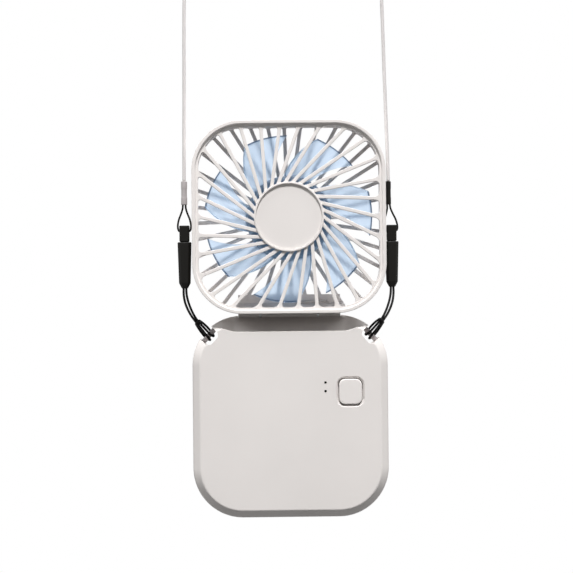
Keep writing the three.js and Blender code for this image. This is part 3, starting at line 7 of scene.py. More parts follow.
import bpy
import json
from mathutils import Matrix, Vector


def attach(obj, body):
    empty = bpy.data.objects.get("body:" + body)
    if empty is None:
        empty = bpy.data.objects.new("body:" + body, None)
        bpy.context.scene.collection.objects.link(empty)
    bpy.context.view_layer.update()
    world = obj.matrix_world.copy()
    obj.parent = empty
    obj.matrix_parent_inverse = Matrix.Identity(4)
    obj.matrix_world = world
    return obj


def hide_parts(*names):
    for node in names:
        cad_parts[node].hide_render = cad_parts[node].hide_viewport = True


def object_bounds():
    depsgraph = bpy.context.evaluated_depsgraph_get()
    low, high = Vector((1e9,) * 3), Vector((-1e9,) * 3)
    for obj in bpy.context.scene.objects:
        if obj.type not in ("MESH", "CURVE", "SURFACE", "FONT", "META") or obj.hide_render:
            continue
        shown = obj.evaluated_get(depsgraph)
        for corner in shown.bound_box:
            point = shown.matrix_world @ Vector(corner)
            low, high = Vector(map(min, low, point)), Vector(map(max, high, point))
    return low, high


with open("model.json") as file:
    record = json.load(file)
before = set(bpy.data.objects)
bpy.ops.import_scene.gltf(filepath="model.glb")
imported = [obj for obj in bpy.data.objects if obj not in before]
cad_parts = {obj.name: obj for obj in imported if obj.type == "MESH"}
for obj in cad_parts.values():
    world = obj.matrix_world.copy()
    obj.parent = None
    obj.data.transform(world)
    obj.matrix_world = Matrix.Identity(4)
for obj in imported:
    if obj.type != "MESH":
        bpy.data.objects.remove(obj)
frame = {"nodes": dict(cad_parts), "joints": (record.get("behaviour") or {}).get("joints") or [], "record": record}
cad_box = [list(corner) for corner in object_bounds()]

# %% [markdown]
# The fan was drawn in millimetres from two natural references: the axis that the impeller turns about,
# and the flat backs of head and base. Reading both from the frame keeps every later number short.

# %% Millimetres from the fan axis
import json
import math

import bmesh
import bpy
from mathutils import Matrix, Vector

MM = 0.001
JOINTS = {joint["name"]: joint for joint in frame["joints"]}
MOUNTS = {mount["name"]: mount for mount in frame["record"]["mounts"]}
FAN_X, _, FAN_Z = JOINTS["fan_spin"]["pos_m"]
BACK_PLANE = MOUNTS["base_back"]["pos_m"][1]
BODY_OF = {node: body for body, nodes in frame["record"]["behaviour"]["bodies"].items() for node in nodes}


def place(x, y, z):
    """A point of the frame, in millimetres right of the axis, behind the flat backs and above the axis."""
    return Vector((FAN_X + x * MM, BACK_PLANE + y * MM, FAN_Z + z * MM))


HINGE_Y = (JOINTS["head_fold"]["pos_m"][1] - BACK_PLANE) / MM
HINGE_Z = (JOINTS["head_fold"]["pos_m"][2] - FAN_Z) / MM
print("fan axis at", place(0, 0, 0)[:], "hinge axis at", round(HINGE_Y, 3), round(HINGE_Z, 3))

# %% [markdown]
# The camera comes first, because everything else is judged through it. It stands level with the gap between
# head and base, three quarters of a metre away, and looks up by one degree. From there the underside of the
# head is seen edge-on, and the sloping cove of the base shows below it.

# %% Camera
CAMERA_AT = (-12.5, -755.7, -44.9)
CAMERA_LENS = 100.52
CAMERA_PITCH = 1.0
CAMERA_YAW = -0.862
CAMERA_ROLL = -0.569


def add_camera():
    lens = bpy.data.cameras.new("photo_camera")
    lens.lens = CAMERA_LENS
    lens.clip_start = 0.01
    camera = bpy.data.objects.new("photo_camera", lens)
    bpy.context.scene.collection.objects.link(camera)
    turn = (
        Matrix.Rotation(math.radians(CAMERA_YAW), 4, "Z")
        @ Matrix.Rotation(math.radians(90 + CAMERA_PITCH), 4, "X")
        @ Matrix.Rotation(math.radians(CAMERA_ROLL), 4, "Z")
    )
    camera.matrix_world = Matrix.Translation(place(*CAMERA_AT)) @ turn
    bpy.context.scene.camera = camera
    return camera


camera = add_camera()
bpy.context.scene.view_settings.view_transform = "Standard"
print("camera stands at", [round(value, 4) for value in camera.matrix_world.translation])

# %% [markdown]
# ## Finishes
# Moulded plastic is never one flat colour. The mould is spark-eroded, which leaves a fine grain, and the
# colour drifts a little where the plastic flowed. Both are noise at different scales, so one shader group
# makes them and every plastic piece sets its own scale.

# %% Shader helpers
def tone(red, green, blue):
    """A screen colour from 0 to 255 as the linear colour that shaders use."""
    def linear(value):
        share = value / 255
        return share / 12.92 if share <= 0.04045 else ((share + 0.055) / 1.055) ** 2.4

    return (linear(red), linear(green), linear(blue), 1.0)


def shader_group(name, inputs, outputs):
    """An empty shader group with named float or vector sockets, and its two end nodes."""
    group = bpy.data.node_groups.new(name, "ShaderNodeTree")
    for socket, kind in inputs:
        group.interface.new_socket(socket, in_out="INPUT", socket_type=kind)
    for socket, kind in outputs:
        group.interface.new_socket(socket, in_out="OUTPUT", socket_type=kind)
    return group, group.nodes.new("NodeGroupInput"), group.nodes.new("NodeGroupOutput")


def feed(tree, value, socket):
    """Links a socket, or sets a plain number on it."""
    if hasattr(value, "is_linked"):
        tree.links.new(value, socket)
    else:
        socket.default_value = value


def arithmetic(tree, operation, first, second=None, third=None):
    """One Math node of a shader or geometry tree, as its output socket."""
    node = tree.nodes.new("ShaderNodeMath")
    node.operation = operation
    for value, socket in zip((first, second, third), node.inputs):
        if value is not None:
            feed(tree, value, socket)
    return node.outputs[0]


def noise(tree, vector, scale, detail=2.0):
    node = tree.nodes.new("ShaderNodeTexNoise")
    node.inputs["Detail"].default_value = detail
    feed(tree, vector, node.inputs["Vector"])
    feed(tree, scale, node.inputs["Scale"])
    return node.outputs[0]


print("a middle grey is", round(tone(128, 128, 128)[0], 3), "in linear light")

# %% Moulded grain group
FLOAT = "NodeSocketFloat"
VECTOR = "NodeSocketVector"


def moulded_grain_group():
    group, start, end = shader_group(
        "moulded_grain",
        [("Vector", VECTOR), ("Grain Scale", FLOAT), ("Drift Scale", FLOAT)],
        [("Height", FLOAT), ("Drift", FLOAT)],
    )
    grain = noise(group, start.outputs["Vector"], start.outputs["Grain Scale"], 3.0)
    drift = noise(group, start.outputs["Vector"], start.outputs["Drift Scale"])
    group.links.new(grain, end.inputs["Height"])
    group.links.new(drift, end.inputs["Drift"])
    return group


MOULDED_GRAIN = moulded_grain_group()
print("group", MOULDED_GRAIN.name, "ready")

# %% [markdown]
# A braided cord shows two families of strands that cross. On a tube with its own UV map, one family follows
# u + v and the other u - v, and whichever is higher at a point lies on top there.

# %% Braid group
def braid_group():
    group, start, end = shader_group(
        "braid", [("UV", VECTOR), ("Strands", FLOAT)], [("Height", FLOAT), ("Gap", FLOAT)])
    split = group.nodes.new("ShaderNodeSeparateXYZ")
    group.links.new(start.outputs["UV"], split.inputs[0])
    strands = start.outputs["Strands"]
    waves = []
    for operation in ("ADD", "SUBTRACT"):
        slant = arithmetic(group, operation, split.outputs["X"], split.outputs["Y"])
        phase = arithmetic(group, "MULTIPLY", arithmetic(group, "MULTIPLY", slant, strands), math.pi)
        waves.append(arithmetic(group, "ABSOLUTE", arithmetic(group, "SINE", phase)))
    height = arithmetic(group, "MAXIMUM", *waves)
    gap = arithmetic(group, "SUBTRACT", 1.0, height)
    group.links.new(height, end.inputs["Height"])
    group.links.new(gap, end.inputs["Gap"])
    return group


BRAID = braid_group()
print("group", BRAID.name, "ready")

# %% [markdown]
# Three builders cover all the finishes: moulded plastic, drawn metal and braided cord. Each starts from the
# Principled shader, sets what is even on its own sockets, and links only what changes over the surface.

# %% Material helpers
# A Mix node's colour sockets come after those for numbers and vectors.
MIX_FIRST, MIX_SECOND, MIX_RESULT = 6, 7, 2


def blank_material(name):
    material = bpy.data.materials.new(name)
    material.use_nodes = True
    tree = material.node_tree
    return material, tree, tree.nodes["Principled BSDF"], tree.nodes.new("ShaderNodeTexCoord")


def mixed_colour(tree, share, low, high, socket):
    """Feeds a socket with a blend of two colours."""
    node = tree.nodes.new("ShaderNodeMix")
    node.data_type = "RGBA"
    feed(tree, share, node.inputs[0])
    node.inputs[MIX_FIRST].default_value = low
    node.inputs[MIX_SECOND].default_value = high
    tree.links.new(node.outputs[MIX_RESULT], socket)


def ranged(tree, value, low, high):
    """A value from 0 to 1 spread over another range."""
    node = tree.nodes.new("ShaderNodeMapRange")
    node.inputs["To Min"].default_value = low
    node.inputs["To Max"].default_value = high
    feed(tree, value, node.inputs["Value"])
    return node.outputs[0]


def bumped(tree, height, strength, distance, shader):
    node = tree.nodes.new("ShaderNodeBump")
    node.inputs["Strength"].default_value = strength
    node.inputs["Distance"].default_value = distance * MM
    tree.links.new(height, node.inputs["Height"])
    tree.links.new(node.outputs[0], shader.inputs["Normal"])


def shaded(colour, share):
    """The same colour, darker or lighter."""
    return tuple(channel * share for channel in colour[:3]) + (1.0,)


print("material helpers ready")

# %% Plastic, metal and braid
ROUGHNESS_SWING = 0.06
GRAIN_HEIGHT = 0.05
BRUSHING_SCALE = 900.0
BRUSHING_HEIGHT = 0.02
CORD_GLOSS = 0.15


def plastic(name, colour, roughness, grain=1800.0, drift=35.0, bump=0.12, variation=0.04, gloss=0.5):
    """Moulded plastic: fine grain in the bump, slow drift in colour and gloss."""
    material, tree, shader, coordinates = blank_material(name)
    effect = tree.nodes.new("ShaderNodeGroup")
    effect.node_tree = MOULDED_GRAIN
    tree.links.new(coordinates.outputs["Object"], effect.inputs["Vector"])
    effect.inputs["Grain Scale"].default_value = grain
    effect.inputs["Drift Scale"].default_value = drift
    low, high = shaded(colour, 1 - variation), shaded(colour, 1 + variation)
    mixed_colour(tree, effect.outputs["Drift"], low, high, shader.inputs["Base Color"])
    rough = ranged(tree, effect.outputs["Height"], roughness - ROUGHNESS_SWING, roughness + ROUGHNESS_SWING)
    tree.links.new(rough, shader.inputs["Roughness"])
    bumped(tree, effect.outputs["Height"], bump, GRAIN_HEIGHT, shader)
    shader.inputs["Specular IOR Level"].default_value = gloss
    return material


def metal(name, colour, roughness, stretch=(1.0, 12.0, 1.0)):
    """Drawn metal: noise pulled out along one way, which reads as fine brushing."""
    material, tree, shader, coordinates = blank_material(name)
    mapping = tree.nodes.new("ShaderNodeMapping")
    mapping.inputs["Scale"].default_value = stretch
    tree.links.new(coordinates.outputs["Object"], mapping.inputs["Vector"])
    brushing = noise(tree, mapping.outputs[0], BRUSHING_SCALE, detail=4.0)
    shader.inputs["Metallic"].default_value = 1.0
    mixed_colour(tree, brushing, shaded(colour, 0.85), shaded(colour, 1.1), shader.inputs["Base Color"])
    tree.links.new(ranged(tree, brushing, roughness - 0.08, roughness + 0.1), shader.inputs["Roughness"])
    bumped(tree, brushing, 0.1, BRUSHING_HEIGHT, shader)
    return material


def braided(name, colour, strands, depth):
    """Braided cord: strands in the bump, with slightly lighter crests and painted shade in the gaps between them.
    """
    material, tree, shader, coordinates = blank_material(name)
    effect = tree.nodes.new("ShaderNodeGroup")
    effect.node_tree = BRAID
    tree.links.new(coordinates.outputs["UV"], effect.inputs["UV"])
    effect.inputs["Strands"].default_value = strands
    # painted light: a lighter copy of the colour on the crests, and painted shade in the gaps between strands
    crest, gap = shaded(colour, 1.05), shaded(colour, 0.75)
    mixed_colour(tree, effect.outputs["Gap"], crest, gap, shader.inputs["Base Color"])
    tree.links.new(ranged(tree, effect.outputs["Gap"], 0.6, 0.9), shader.inputs["Roughness"])
    bumped(tree, effect.outputs["Height"], 0.5, depth, shader)
    shader.inputs["Specular IOR Level"].default_value = CORD_GLOSS
    return material


print("builders of plastic, metal and braid ready")

# %% [markdown]
# The shell is a warm white. What looks white beside it, such as the button and the cap, differs from it by a
# few steps only. The cords and buckles are not quite black, because black has no form. The inner pieces get
# the plain finish of their kind.

# %% The fan's finishes
SHELL_WHITE = tone(226, 221, 218)
CAP_WHITE = tone(225, 220, 217)
# painted shade: the lanyard pins get a grey darker than the shell for the shadow inside the notches
BUTTON_WHITE = tone(229, 224, 221)
STRING_GREY = tone(212, 208, 207)
FERRULE_GREY = tone(172, 166, 166)
PIN_SHADE_GREY = tone(160, 153, 154)
BUCKLE_BLACK = tone(22, 21, 19)
CORD_BLACK = tone(10, 9, 9)

FINISHES = {
    "shell": plastic("warm_white_shell", SHELL_WHITE, 0.5),
    "cap": plastic("hub_cap_white", CAP_WHITE, 0.42, grain=2400.0, bump=0.06),
    "string": braided("grey_neck_string", STRING_GREY, 4.0, 0.08),
    "black_cord": braided("black_loop_cord", CORD_BLACK, 4.0, 0.06),
    "grey_plastic": plastic("ferrule_grey", FERRULE_GREY, 0.4, grain=2600.0),
    "black_plastic": plastic(
        "buckle_black", BUCKLE_BLACK, 0.45, grain=2200.0, bump=0.1, variation=0.1, gloss=0.12),
    "steel": metal("drawn_steel", tone(196, 196, 198), 0.3),
    "brass": metal("turned_brass", tone(205, 178, 120), 0.3),
    "winding": metal("enamelled_copper", tone(190, 110, 62), 0.4, stretch=(6.0, 1.0, 6.0)),
    "board": plastic("circuit_board_green", tone(24, 84, 52), 0.45, grain=400.0, drift=160.0, variation=0.2),
    "cell": metal("cell_foil", tone(206, 208, 212), 0.42, stretch=(1.0, 1.0, 1.0)),
    "pad": plastic("foam_pad_grey", tone(92, 92, 94), 0.9, grain=900.0, bump=0.4, variation=0.12),
    "lead": plastic("lead_sleeve_grey", tone(196, 192, 190), 0.55, grain=1500.0),
    "magnet": plastic("sintered_magnet_grey", tone(70, 70, 72), 0.6, grain=1200.0, variation=0.15),
}
# the pins' grey is painted shade of the notch
PIN_SHADE_FINISH = plastic("lanyard_pin_grey", PIN_SHADE_GREY, 0.35, grain=2600.0)
BUTTON_FINISH = plastic("button_white", BUTTON_WHITE, 0.45)
print(len(FINISHES) + 2, "finishes made")

# %% [markdown]
# The impeller is moulded in a clear light blue plastic with a satin face, so the rear bars show through the
# blades as soft shadows. The hub and the cut ends of the blades are painted a darker blue: partly the deeper
# colour of more plastic seen through, and partly painted shade on the cut ends and round the hub. Both follow
# the distance from the fan axis, which sets the colour. The plastic also scatters light inside it, and a very
# weak blue glow stands in for that.

# %% Impeller finish
BLADE_BLUE = tone(220, 235, 252)
# painted shade: a darker blue for the blades' cut ends and round the hub, partly the colour of thicker plastic
BLADE_DEEP_SHADE_BLUE = tone(72, 90, 116)
BLADE_CLEARNESS = 0.96
BLADE_GLOW = (0.3, 0.63, 1.0, 1.0)
BLADE_GLOW_STRENGTH = 0.04
BLADE_TIP_RADIUS = 39.2
TIP_SHADE = (0.8, 0.4)
ROTOR_HUB_RADIUS = 19.7
HUB_SHADE_WIDTH = 1.0
HUB_SHADE = 0.6


def ramp(tree, value, start, end):
    """Runs from 0 to 1 as the value goes from start to end."""
    node = tree.nodes.new("ShaderNodeMapRange")
    node.inputs["From Min"].default_value = start
    node.inputs["From Max"].default_value = end
    tree.links.new(value, node.inputs["Value"])
    return node.outputs[0]


def blade_plastic():
    material, tree, shader, coordinates = blank_material("clear_blue_blade")
    centred = tree.nodes.new("ShaderNodeMapping")
    centred.inputs["Location"].default_value = (-FAN_X, 0.0, -FAN_Z)
    tree.links.new(coordinates.outputs["Object"], centred.inputs["Vector"])
    split = tree.nodes.new("ShaderNodeSeparateXYZ")
    tree.links.new(centred.outputs[0], split.inputs[0])
    squares = [arithmetic(tree, "POWER", split.outputs[axis], 2.0) for axis in ("X", "Z")]
    radius = arithmetic(tree, "SQRT", arithmetic(tree, "ADD", *squares))
    edge = ramp(tree, radius, *((BLADE_TIP_RADIUS - inset) * MM for inset in TIP_SHADE))
    hub = ramp(tree, radius, (ROTOR_HUB_RADIUS + HUB_SHADE_WIDTH) * MM, ROTOR_HUB_RADIUS * MM)
    # painted shade on the tips' cut ends and round the hub, mixed into the base colour
    deep = arithmetic(tree, "MAXIMUM", edge, arithmetic(tree, "MULTIPLY", hub, HUB_SHADE))
    mixed_colour(tree, deep, BLADE_BLUE, BLADE_DEEP_SHADE_BLUE, shader.inputs["Base Color"])
    cloud = noise(tree, coordinates.outputs["Object"], 300.0)
    tree.links.new(ranged(tree, cloud, 0.36, 0.46), shader.inputs["Roughness"])
    bumped(tree, cloud, 0.05, GRAIN_HEIGHT, shader)
    shader.inputs["Transmission Weight"].default_value = BLADE_CLEARNESS
    shader.inputs["Emission Color"].default_value = BLADE_GLOW
    shader.inputs["Emission Strength"].default_value = BLADE_GLOW_STRENGTH
    return material


FINISHES["blade"] = blade_plastic()
print("impeller finish ready")

# %% [markdown]
# ## Cords
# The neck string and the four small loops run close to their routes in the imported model. Each is a tube round
# a smooth path, with a UV map that runs round and along it so that the braid stays square everywhere.

# %% Smooth paths
STEPS_BETWEEN_MARKS = 40
FEWEST_STEPS = 8


def smooth_path(points, spacing):
    """A curve through the points that doesn't overshoot between them, as evenly spaced points."""
    marks = [Vector(point) for point in points]
    marks = [2 * marks[0] - marks[1]] + marks + [2 * marks[-1] - marks[-2]]
    dense = []
    for first, second, third, fourth in zip(marks, marks[1:], marks[2:], marks[3:]):
        knots = [0.0]
        for start, end in ((first, second), (second, third), (third, fourth)):
            knots.append(knots[-1] + max((end - start).length, 1e-6) ** 0.5)
        for step in range(STEPS_BETWEEN_MARKS):
            at = knots[1] + (knots[2] - knots[1]) * step / STEPS_BETWEEN_MARKS
            dense.append(curve_point((first, second, third, fourth), knots, at))
    dense.append(marks[-2])
    return evenly_spaced(dense, spacing)


def curve_point(marks, knots, at):
    """The curve's point at a knot value: neighbours are blended, then the blends, until one point is left."""
    rows = list(marks)
    for level in (1, 2, 3):
        rows = [
            start.lerp(end, (at - low) / (high - low))
            for start, end, (low, high) in zip(rows, rows[1:], knot_spans(knots, level))
        ]
    return rows[0]


def knot_spans(knots, level):
    """The knot values that each blend of a level runs between."""
    if level == 3:
        return [(knots[1], knots[2])]
    return list(zip(knots, knots[level:]))


def evenly_spaced(dense, spacing):
    """Points at equal steps along a dense path."""
    lengths = [0.0]
    for start, end in zip(dense, dense[1:]):
        lengths.append(lengths[-1] + (end - start).length)
    count = max(int(round(lengths[-1] / spacing)), FEWEST_STEPS)
    even, at = [], 0
    for step in range(count + 1):
        goal = lengths[-1] * step / count
        while at < len(dense) - 2 and lengths[at + 1] < goal:
            at += 1
        part = (goal - lengths[at]) / max(lengths[at + 1] - lengths[at], 1e-12)
        even.append(dense[at].lerp(dense[at + 1], min(part, 1.0)))
    return even


def path_length(path):
    return sum((end - start).length for start, end in zip(path, path[1:]))


print("path helpers ready")

# %% [markdown]
# A tube is swept along its path with one direction carried across it from point to point, which keeps it from
# twisting. What follows is the same for every finished piece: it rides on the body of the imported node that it
# stands for, takes that node's place and names its material slot.

# %% Tubes that take a node's place
def new_object(name, mesh):
    made = bpy.data.objects.new(name, mesh)
    bpy.context.scene.collection.objects.link(made)
    return made


def tube(name, path, radius, sides=12):
    """A round tube along a path, with closed ends and a UV map in units of its girth."""
    girth = 2 * math.pi * radius
    mesh = bmesh.new()
    uv_layer = mesh.loops.layers.uv.new("UVMap")
    last = len(path) - 1
    ahead = [(path[min(i + 1, last)] - path[max(i - 1, 0)]).normalized() for i in range(len(path))]
    across = ahead[0].orthogonal().normalized()
    turns = [2 * math.pi * k / sides for k in range(sides)]
    rings, along, so_far = [], [], 0.0
    for i, centre in enumerate(path):
        across = (across - ahead[i] * across.dot(ahead[i])).normalized()
        upward = ahead[i].cross(across)
        rings.append([
            mesh.verts.new(centre + radius * (across * math.cos(turn) + upward * math.sin(turn)))
            for turn in turns
        ])
        so_far += (centre - path[i - 1]).length if i else 0.0
        along.append(so_far / girth)
    for i in range(last):
        for k in range(sides):
            after = (k + 1) % sides
            face = mesh.faces.new((rings[i][k], rings[i][after], rings[i + 1][after], rings[i + 1][k]))
            face.smooth = True
            corners = ((k, i), (k + 1, i), (k + 1, i + 1), (k, i + 1))
            for loop, (round_step, step) in zip(face.loops, corners):
                loop[uv_layer].uv = (round_step / sides, along[step])
    for ring, way in ((rings[0], -1), (rings[-1], 1)):
        mesh.faces.new(ring[::way])
    bmesh.ops.recalc_face_normals(mesh, faces=mesh.faces)
    data = bpy.data.meshes.new(name)
    mesh.to_mesh(data)
    mesh.free()
    return new_object(name, data)


def stand_for(piece, node, slot, finish=None):
    """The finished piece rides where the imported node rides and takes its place."""
    piece.data.materials.clear()
    piece.data.materials.append(finish or FINISHES[slot])
    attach(piece, BODY_OF[node])
    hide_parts(node)
    return piece


print("tube helpers ready")

# %% [markdown]
# The string comes down to a ferrule on each side. A thin loop under the ferrule goes through the buckle tip,
# and a lower loop leaves the buckle body and is hitched round the lanyard pin: it goes round the pin, comes
# back over itself and crosses. Routes are lists of points in millimetres, one half of a loop at a time.

# %% Route of the string and the upper loops
LEFT, RIGHT = -1, 1
GAP = 0.3
CORD_X = {LEFT: -48.4, RIGHT: 48.4}
FERRULE_X = {LEFT: -48.4, RIGHT: 47.1}
CORD_Y = {LEFT: -14.0, RIGHT: -5.0}
FERRULE_TOP = 17.2
FERRULE_BOTTOM = 6.3
TIP_HOLE_Z = -6.1
STRING_POINTS = [
    (FERRULE_X[LEFT], -14, FERRULE_TOP - GAP), (-48.35, -14, 24), (-48, -14, 60), (-47.6, -13.9, 100),
    (-46.8, -13.4, 118), (-42.8, -12.5, 134), (-32.5, -11.3, 147), (-17, -10.3, 153.4), (0, -9.5, 155),
    (17, -8.7, 153.4), (31.2, -7.7, 147), (40.6, -6.5, 134), (44.3, -5.6, 118), (45, -5.1, 100), (46, -5, 60),
    (47, -5, 24), (FERRULE_X[RIGHT], -5, FERRULE_TOP - GAP),
]
UPPER_LOOP_HALF = [
    (0.6, FERRULE_BOTTOM + GAP), (0.8, 4.4), (1.6, 1.9), (2.5, -0.4), (3, -2.8), (3, -4.5), (2.55, -5.75),
    (1.4, TIP_HOLE_Z),
]


def upper_loop_points(side):
    """The loop hangs from the ferrule, leans with it and goes through the hole of the buckle tip."""
    x, y = CORD_X[side], CORD_Y[side]
    lean = (FERRULE_X[side] - x) / (FERRULE_BOTTOM - TIP_HOLE_Z)
    left = [(x + lean * (z - TIP_HOLE_Z) - out, y, z) for out, z in UPPER_LOOP_HALF]
    right = [(x + lean * (z - TIP_HOLE_Z) + out, y, z) for out, z in reversed(UPPER_LOOP_HALF)]
    return left + [(x, y, TIP_HOLE_Z)] + right


print("string route has", len(STRING_POINTS), "points")

# %% Route of the lower loops
BUCKLE_BOTTOM = -32.4
STRAND_SPREAD = (0.6, 0.68, 0.8, 0.72)
STRAND = {
    LEFT: [
        (0, -14, BUCKLE_BOTTOM + GAP), (0.1, -13.9, -35.4), (1.0, -13.6, -39.6), (3.1, -13.2, -44.4),
    ],
    RIGHT: [
        (0, -5, BUCKLE_BOTTOM + GAP), (-0.1, -5.6, -35.4), (-1.0, -7.6, -39.6), (-3.1, -10.4, -44.4),
    ],
}
HITCH_HALF = [
    (8.05, 0.52, -2.9), (5, 0.62, -2.45), (2.2, 0.72, -2.0), (0, 0.8, -1.75), (-1.25, 0.95, -1.25),
    (-1.75, 1.2, 0), (-1.25, 1.5, 1.25), (0, 1.75, 1.75), (2.5, 1.9, 1.7), (5.5, 1.65, 1.1),
    (7.3, 1.3, -0.4), (8.0, 1.1, -2.4), (8.05, 0.75, -3.7),
]
HITCH_CROSSING = (8.05, 0, -4.0)
HITCH_LEAN = 0.14
CORNER_CENTRE = (22.2, -68.2)
NOTCH_ANGLE = math.radians(42)
LANYARD_PIN_PLACE = 20.7
BASE_JOINT = -9.5


def by_lanyard_pin(side, out, along, depth):
    """A point by a lanyard pin, from the pin's middle: outwards, along the pin and in depth."""
    far = LANYARD_PIN_PLACE + out
    along += HITCH_LEAN * max(out, 0)
    x = CORNER_CENTRE[0] + math.cos(NOTCH_ANGLE) * far - math.sin(NOTCH_ANGLE) * along
    z = CORNER_CENTRE[1] + math.sin(NOTCH_ANGLE) * far + math.cos(NOTCH_ANGLE) * along
    return (side * x, BASE_JOINT + depth, z)


def lower_loop_points(side):
    """Down one strand, round the pin and back over it to the crossing, then the same way back."""
    def strand(inner):
        free = [
            (CORD_X[side] + x - side * inner * spread, y, z)
            for (x, y, z), spread in zip(STRAND[side], STRAND_SPREAD)
        ]
        return free + [by_lanyard_pin(side, out, inner * along, depth) for out, along, depth in HITCH_HALF]

    return strand(1) + [by_lanyard_pin(side, *HITCH_CROSSING)] + strand(-1)[::-1]


print("lower loop route has", len(lower_loop_points(LEFT)), "points")

# %% String and loops
SIDE_NAME = {LEFT: "left", RIGHT: "right"}
STRING_RADIUS, STRING_STEP = 0.8, 1.2
UPPER_LOOP_RADIUS, UPPER_LOOP_STEP = 0.45, 0.4
LOWER_LOOP_RADIUS, LOWER_LOOP_STEP = 0.55, 0.35


def cord_piece(node, points, radius, spacing, slot):
    path = smooth_path([place(*point) for point in points], spacing * MM)
    made = stand_for(tube(node + "_cord", path, radius * MM), node, slot)
    print(node, "is", round(path_length(path) / MM, 1), "mm long")
    return made, path


neck_string, string_path = cord_piece("neck_string", STRING_POINTS, STRING_RADIUS, STRING_STEP, "string")
loops = {}
for side in (LEFT, RIGHT):
    upper = "upper_loop_" + SIDE_NAME[side]
    lower = "lower_loop_" + SIDE_NAME[side]
    loops[upper] = cord_piece(
        upper, upper_loop_points(side), UPPER_LOOP_RADIUS, UPPER_LOOP_STEP, "black_cord")
    loops[lower] = cord_piece(
        lower, lower_loop_points(side), LOWER_LOOP_RADIUS, LOWER_LOOP_STEP, "black_cord")

# %% [markdown]
# ## Mesh helpers for the hard pieces
# The shells are rounded rectangles stacked in depth. A profile of corners, each with its own rounding, says
# how the outline draws in from depth to depth, and a loft joins the outlines. Round pieces are turned
# instead. Cuts that no profile can give, such as the cove, are booleans on those clean solids.

# %% Meshes, booleans and joining
PAST = 1.0  # how far a cutter reaches past what it cuts
SAME_POINT = 1e-7


def mesh_object(name, points, faces):
    data = bpy.data.meshes.new(name)
    data.from_pydata([tuple(point) for point in points], [], faces)
    work = bmesh.new()
    work.from_mesh(data)
    bmesh.ops.remove_doubles(work, verts=work.verts, dist=SAME_POINT)
    bmesh.ops.recalc_face_normals(work, faces=work.faces)
    work.to_mesh(data)
    work.free()
    return new_object(name, data)


def bake(piece):
    """Turns the piece's modifiers into its plain mesh."""
    evaluated = piece.evaluated_get(bpy.context.evaluated_depsgraph_get())
    data = bpy.data.meshes.new_from_object(evaluated)
    old = piece.data
    piece.modifiers.clear()
    piece.data = data
    data.name = piece.name
    bpy.data.meshes.remove(old)
    return piece


def discard(*pieces):
    for piece in pieces:
        data = piece.data
        bpy.data.objects.remove(piece)
        bpy.data.meshes.remove(data)


def boolean(body, cutters, operation="DIFFERENCE"):
    for cutter in cutters:
        step = body.modifiers.new("boolean", "BOOLEAN")
        step.operation = operation
        step.solver = "EXACT"
        step.object = cutter
        bake(body)
        discard(cutter)
    return body


def joined(name, pieces):
    """One object from several closed meshes."""
    work = bmesh.new()
    for piece in pieces:
        work.from_mesh(piece.data)
    data = bpy.data.meshes.new(name)
    work.to_mesh(data)
    work.free()
    discard(*pieces)
    return new_object(name, data)


print("mesh helpers ready")

# %% [markdown]
# Every real edge is a little round, and that is what catches the light. A bevel rounds the sharp edges, but
# it stops at the tiny slivers that booleans leave, so those are merged first. Weighted normals then keep the
# large faces flat beside their rounded edges.

# %% Soft edges
SMOOTH_ANGLE = math.radians(32)
CRUMB = 0.02
FINE_CRUMB = 0.001


def swept_clean(piece, crumb):
    """Merges points closer than a crumb and drops the faces that collapse, since cuts leave slivers."""
    work = bmesh.new()
    work.from_mesh(piece.data)
    bmesh.ops.remove_doubles(work, verts=work.verts, dist=crumb * MM)
    bmesh.ops.dissolve_degenerate(work, edges=work.edges, dist=crumb * MM)
    bmesh.ops.holes_fill(work, edges=[edge for edge in work.edges if edge.is_boundary], sides=0)
    work.to_mesh(piece.data)
    work.free()


def finished(piece, edge=0.0):
    """Rounds sharp edges by a small bevel, then shades round faces smooth and flat faces flat."""
    if edge:
        swept_clean(piece, CRUMB)
        step = piece.modifiers.new("soft_edge", "BEVEL")
        step.width = edge * MM
        step.segments = 2
        step.limit_method = "ANGLE"
        step.angle_limit = SMOOTH_ANGLE
        step.use_clamp_overlap = True
        bake(piece)
    swept_clean(piece, FINE_CRUMB)
    piece.data.shade_smooth()
    piece.data.set_sharp_from_angle(angle=SMOOTH_ANGLE)
    step = piece.modifiers.new("flat_faces", "WEIGHTED_NORMAL")
    step.keep_sharp = True
    return bake(piece)


print("edges turn soft above", round(math.degrees(SMOOTH_ANGLE)), "degrees")

# %% [markdown]
# A corner of a profile holds a depth, how far the outline draws in at the sides and at the ends, and a
# rounding. Rounding the profile before it is lofted gives clean edges that no bevel has to find later.

# %% Lofts
CORNER_STEPS = 20
ROUND_STEPS = 5
ROUND_SHARE = 0.45
SMALLEST_RADIUS = 0.05


def round_corners(corners, closed):
    """Replaces each corner (depth, side inset, end inset, rounding) by a short curve of that size."""
    marks = [Vector(corner[:3]) for corner in corners]
    rounded = []
    for i, corner in enumerate(corners):
        here, size = marks[i], corner[3]
        if size == 0 or (not closed and i in (0, len(corners) - 1)):
            rounded.append(here)
            continue
        before = marks[i - 1] - here
        after = marks[(i + 1) % len(marks)] - here
        start = here + before.normalized() * min(size, before.length * ROUND_SHARE)
        end = here + after.normalized() * min(size, after.length * ROUND_SHARE)
        for step in range(ROUND_STEPS + 1):
            share = step / ROUND_STEPS
            rounded.append(start.lerp(here, share).lerp(here.lerp(end, share), share))
    return rounded


def rounded_ring(width, height, radius, depth, x=0.0, z=0.0):
    """The points of a rounded rectangle at one depth."""
    ring = []
    for quarter, (side, end) in enumerate(((1, 1), (-1, 1), (-1, -1), (1, -1))):
        for step in range(CORNER_STEPS + 1):
            turn = math.radians(90 * (quarter + step / CORNER_STEPS))
            ring.append(place(x + side * (width / 2 - radius) + radius * math.cos(turn), depth,
                              z + end * (height / 2 - radius) + radius * math.sin(turn)))
    return ring


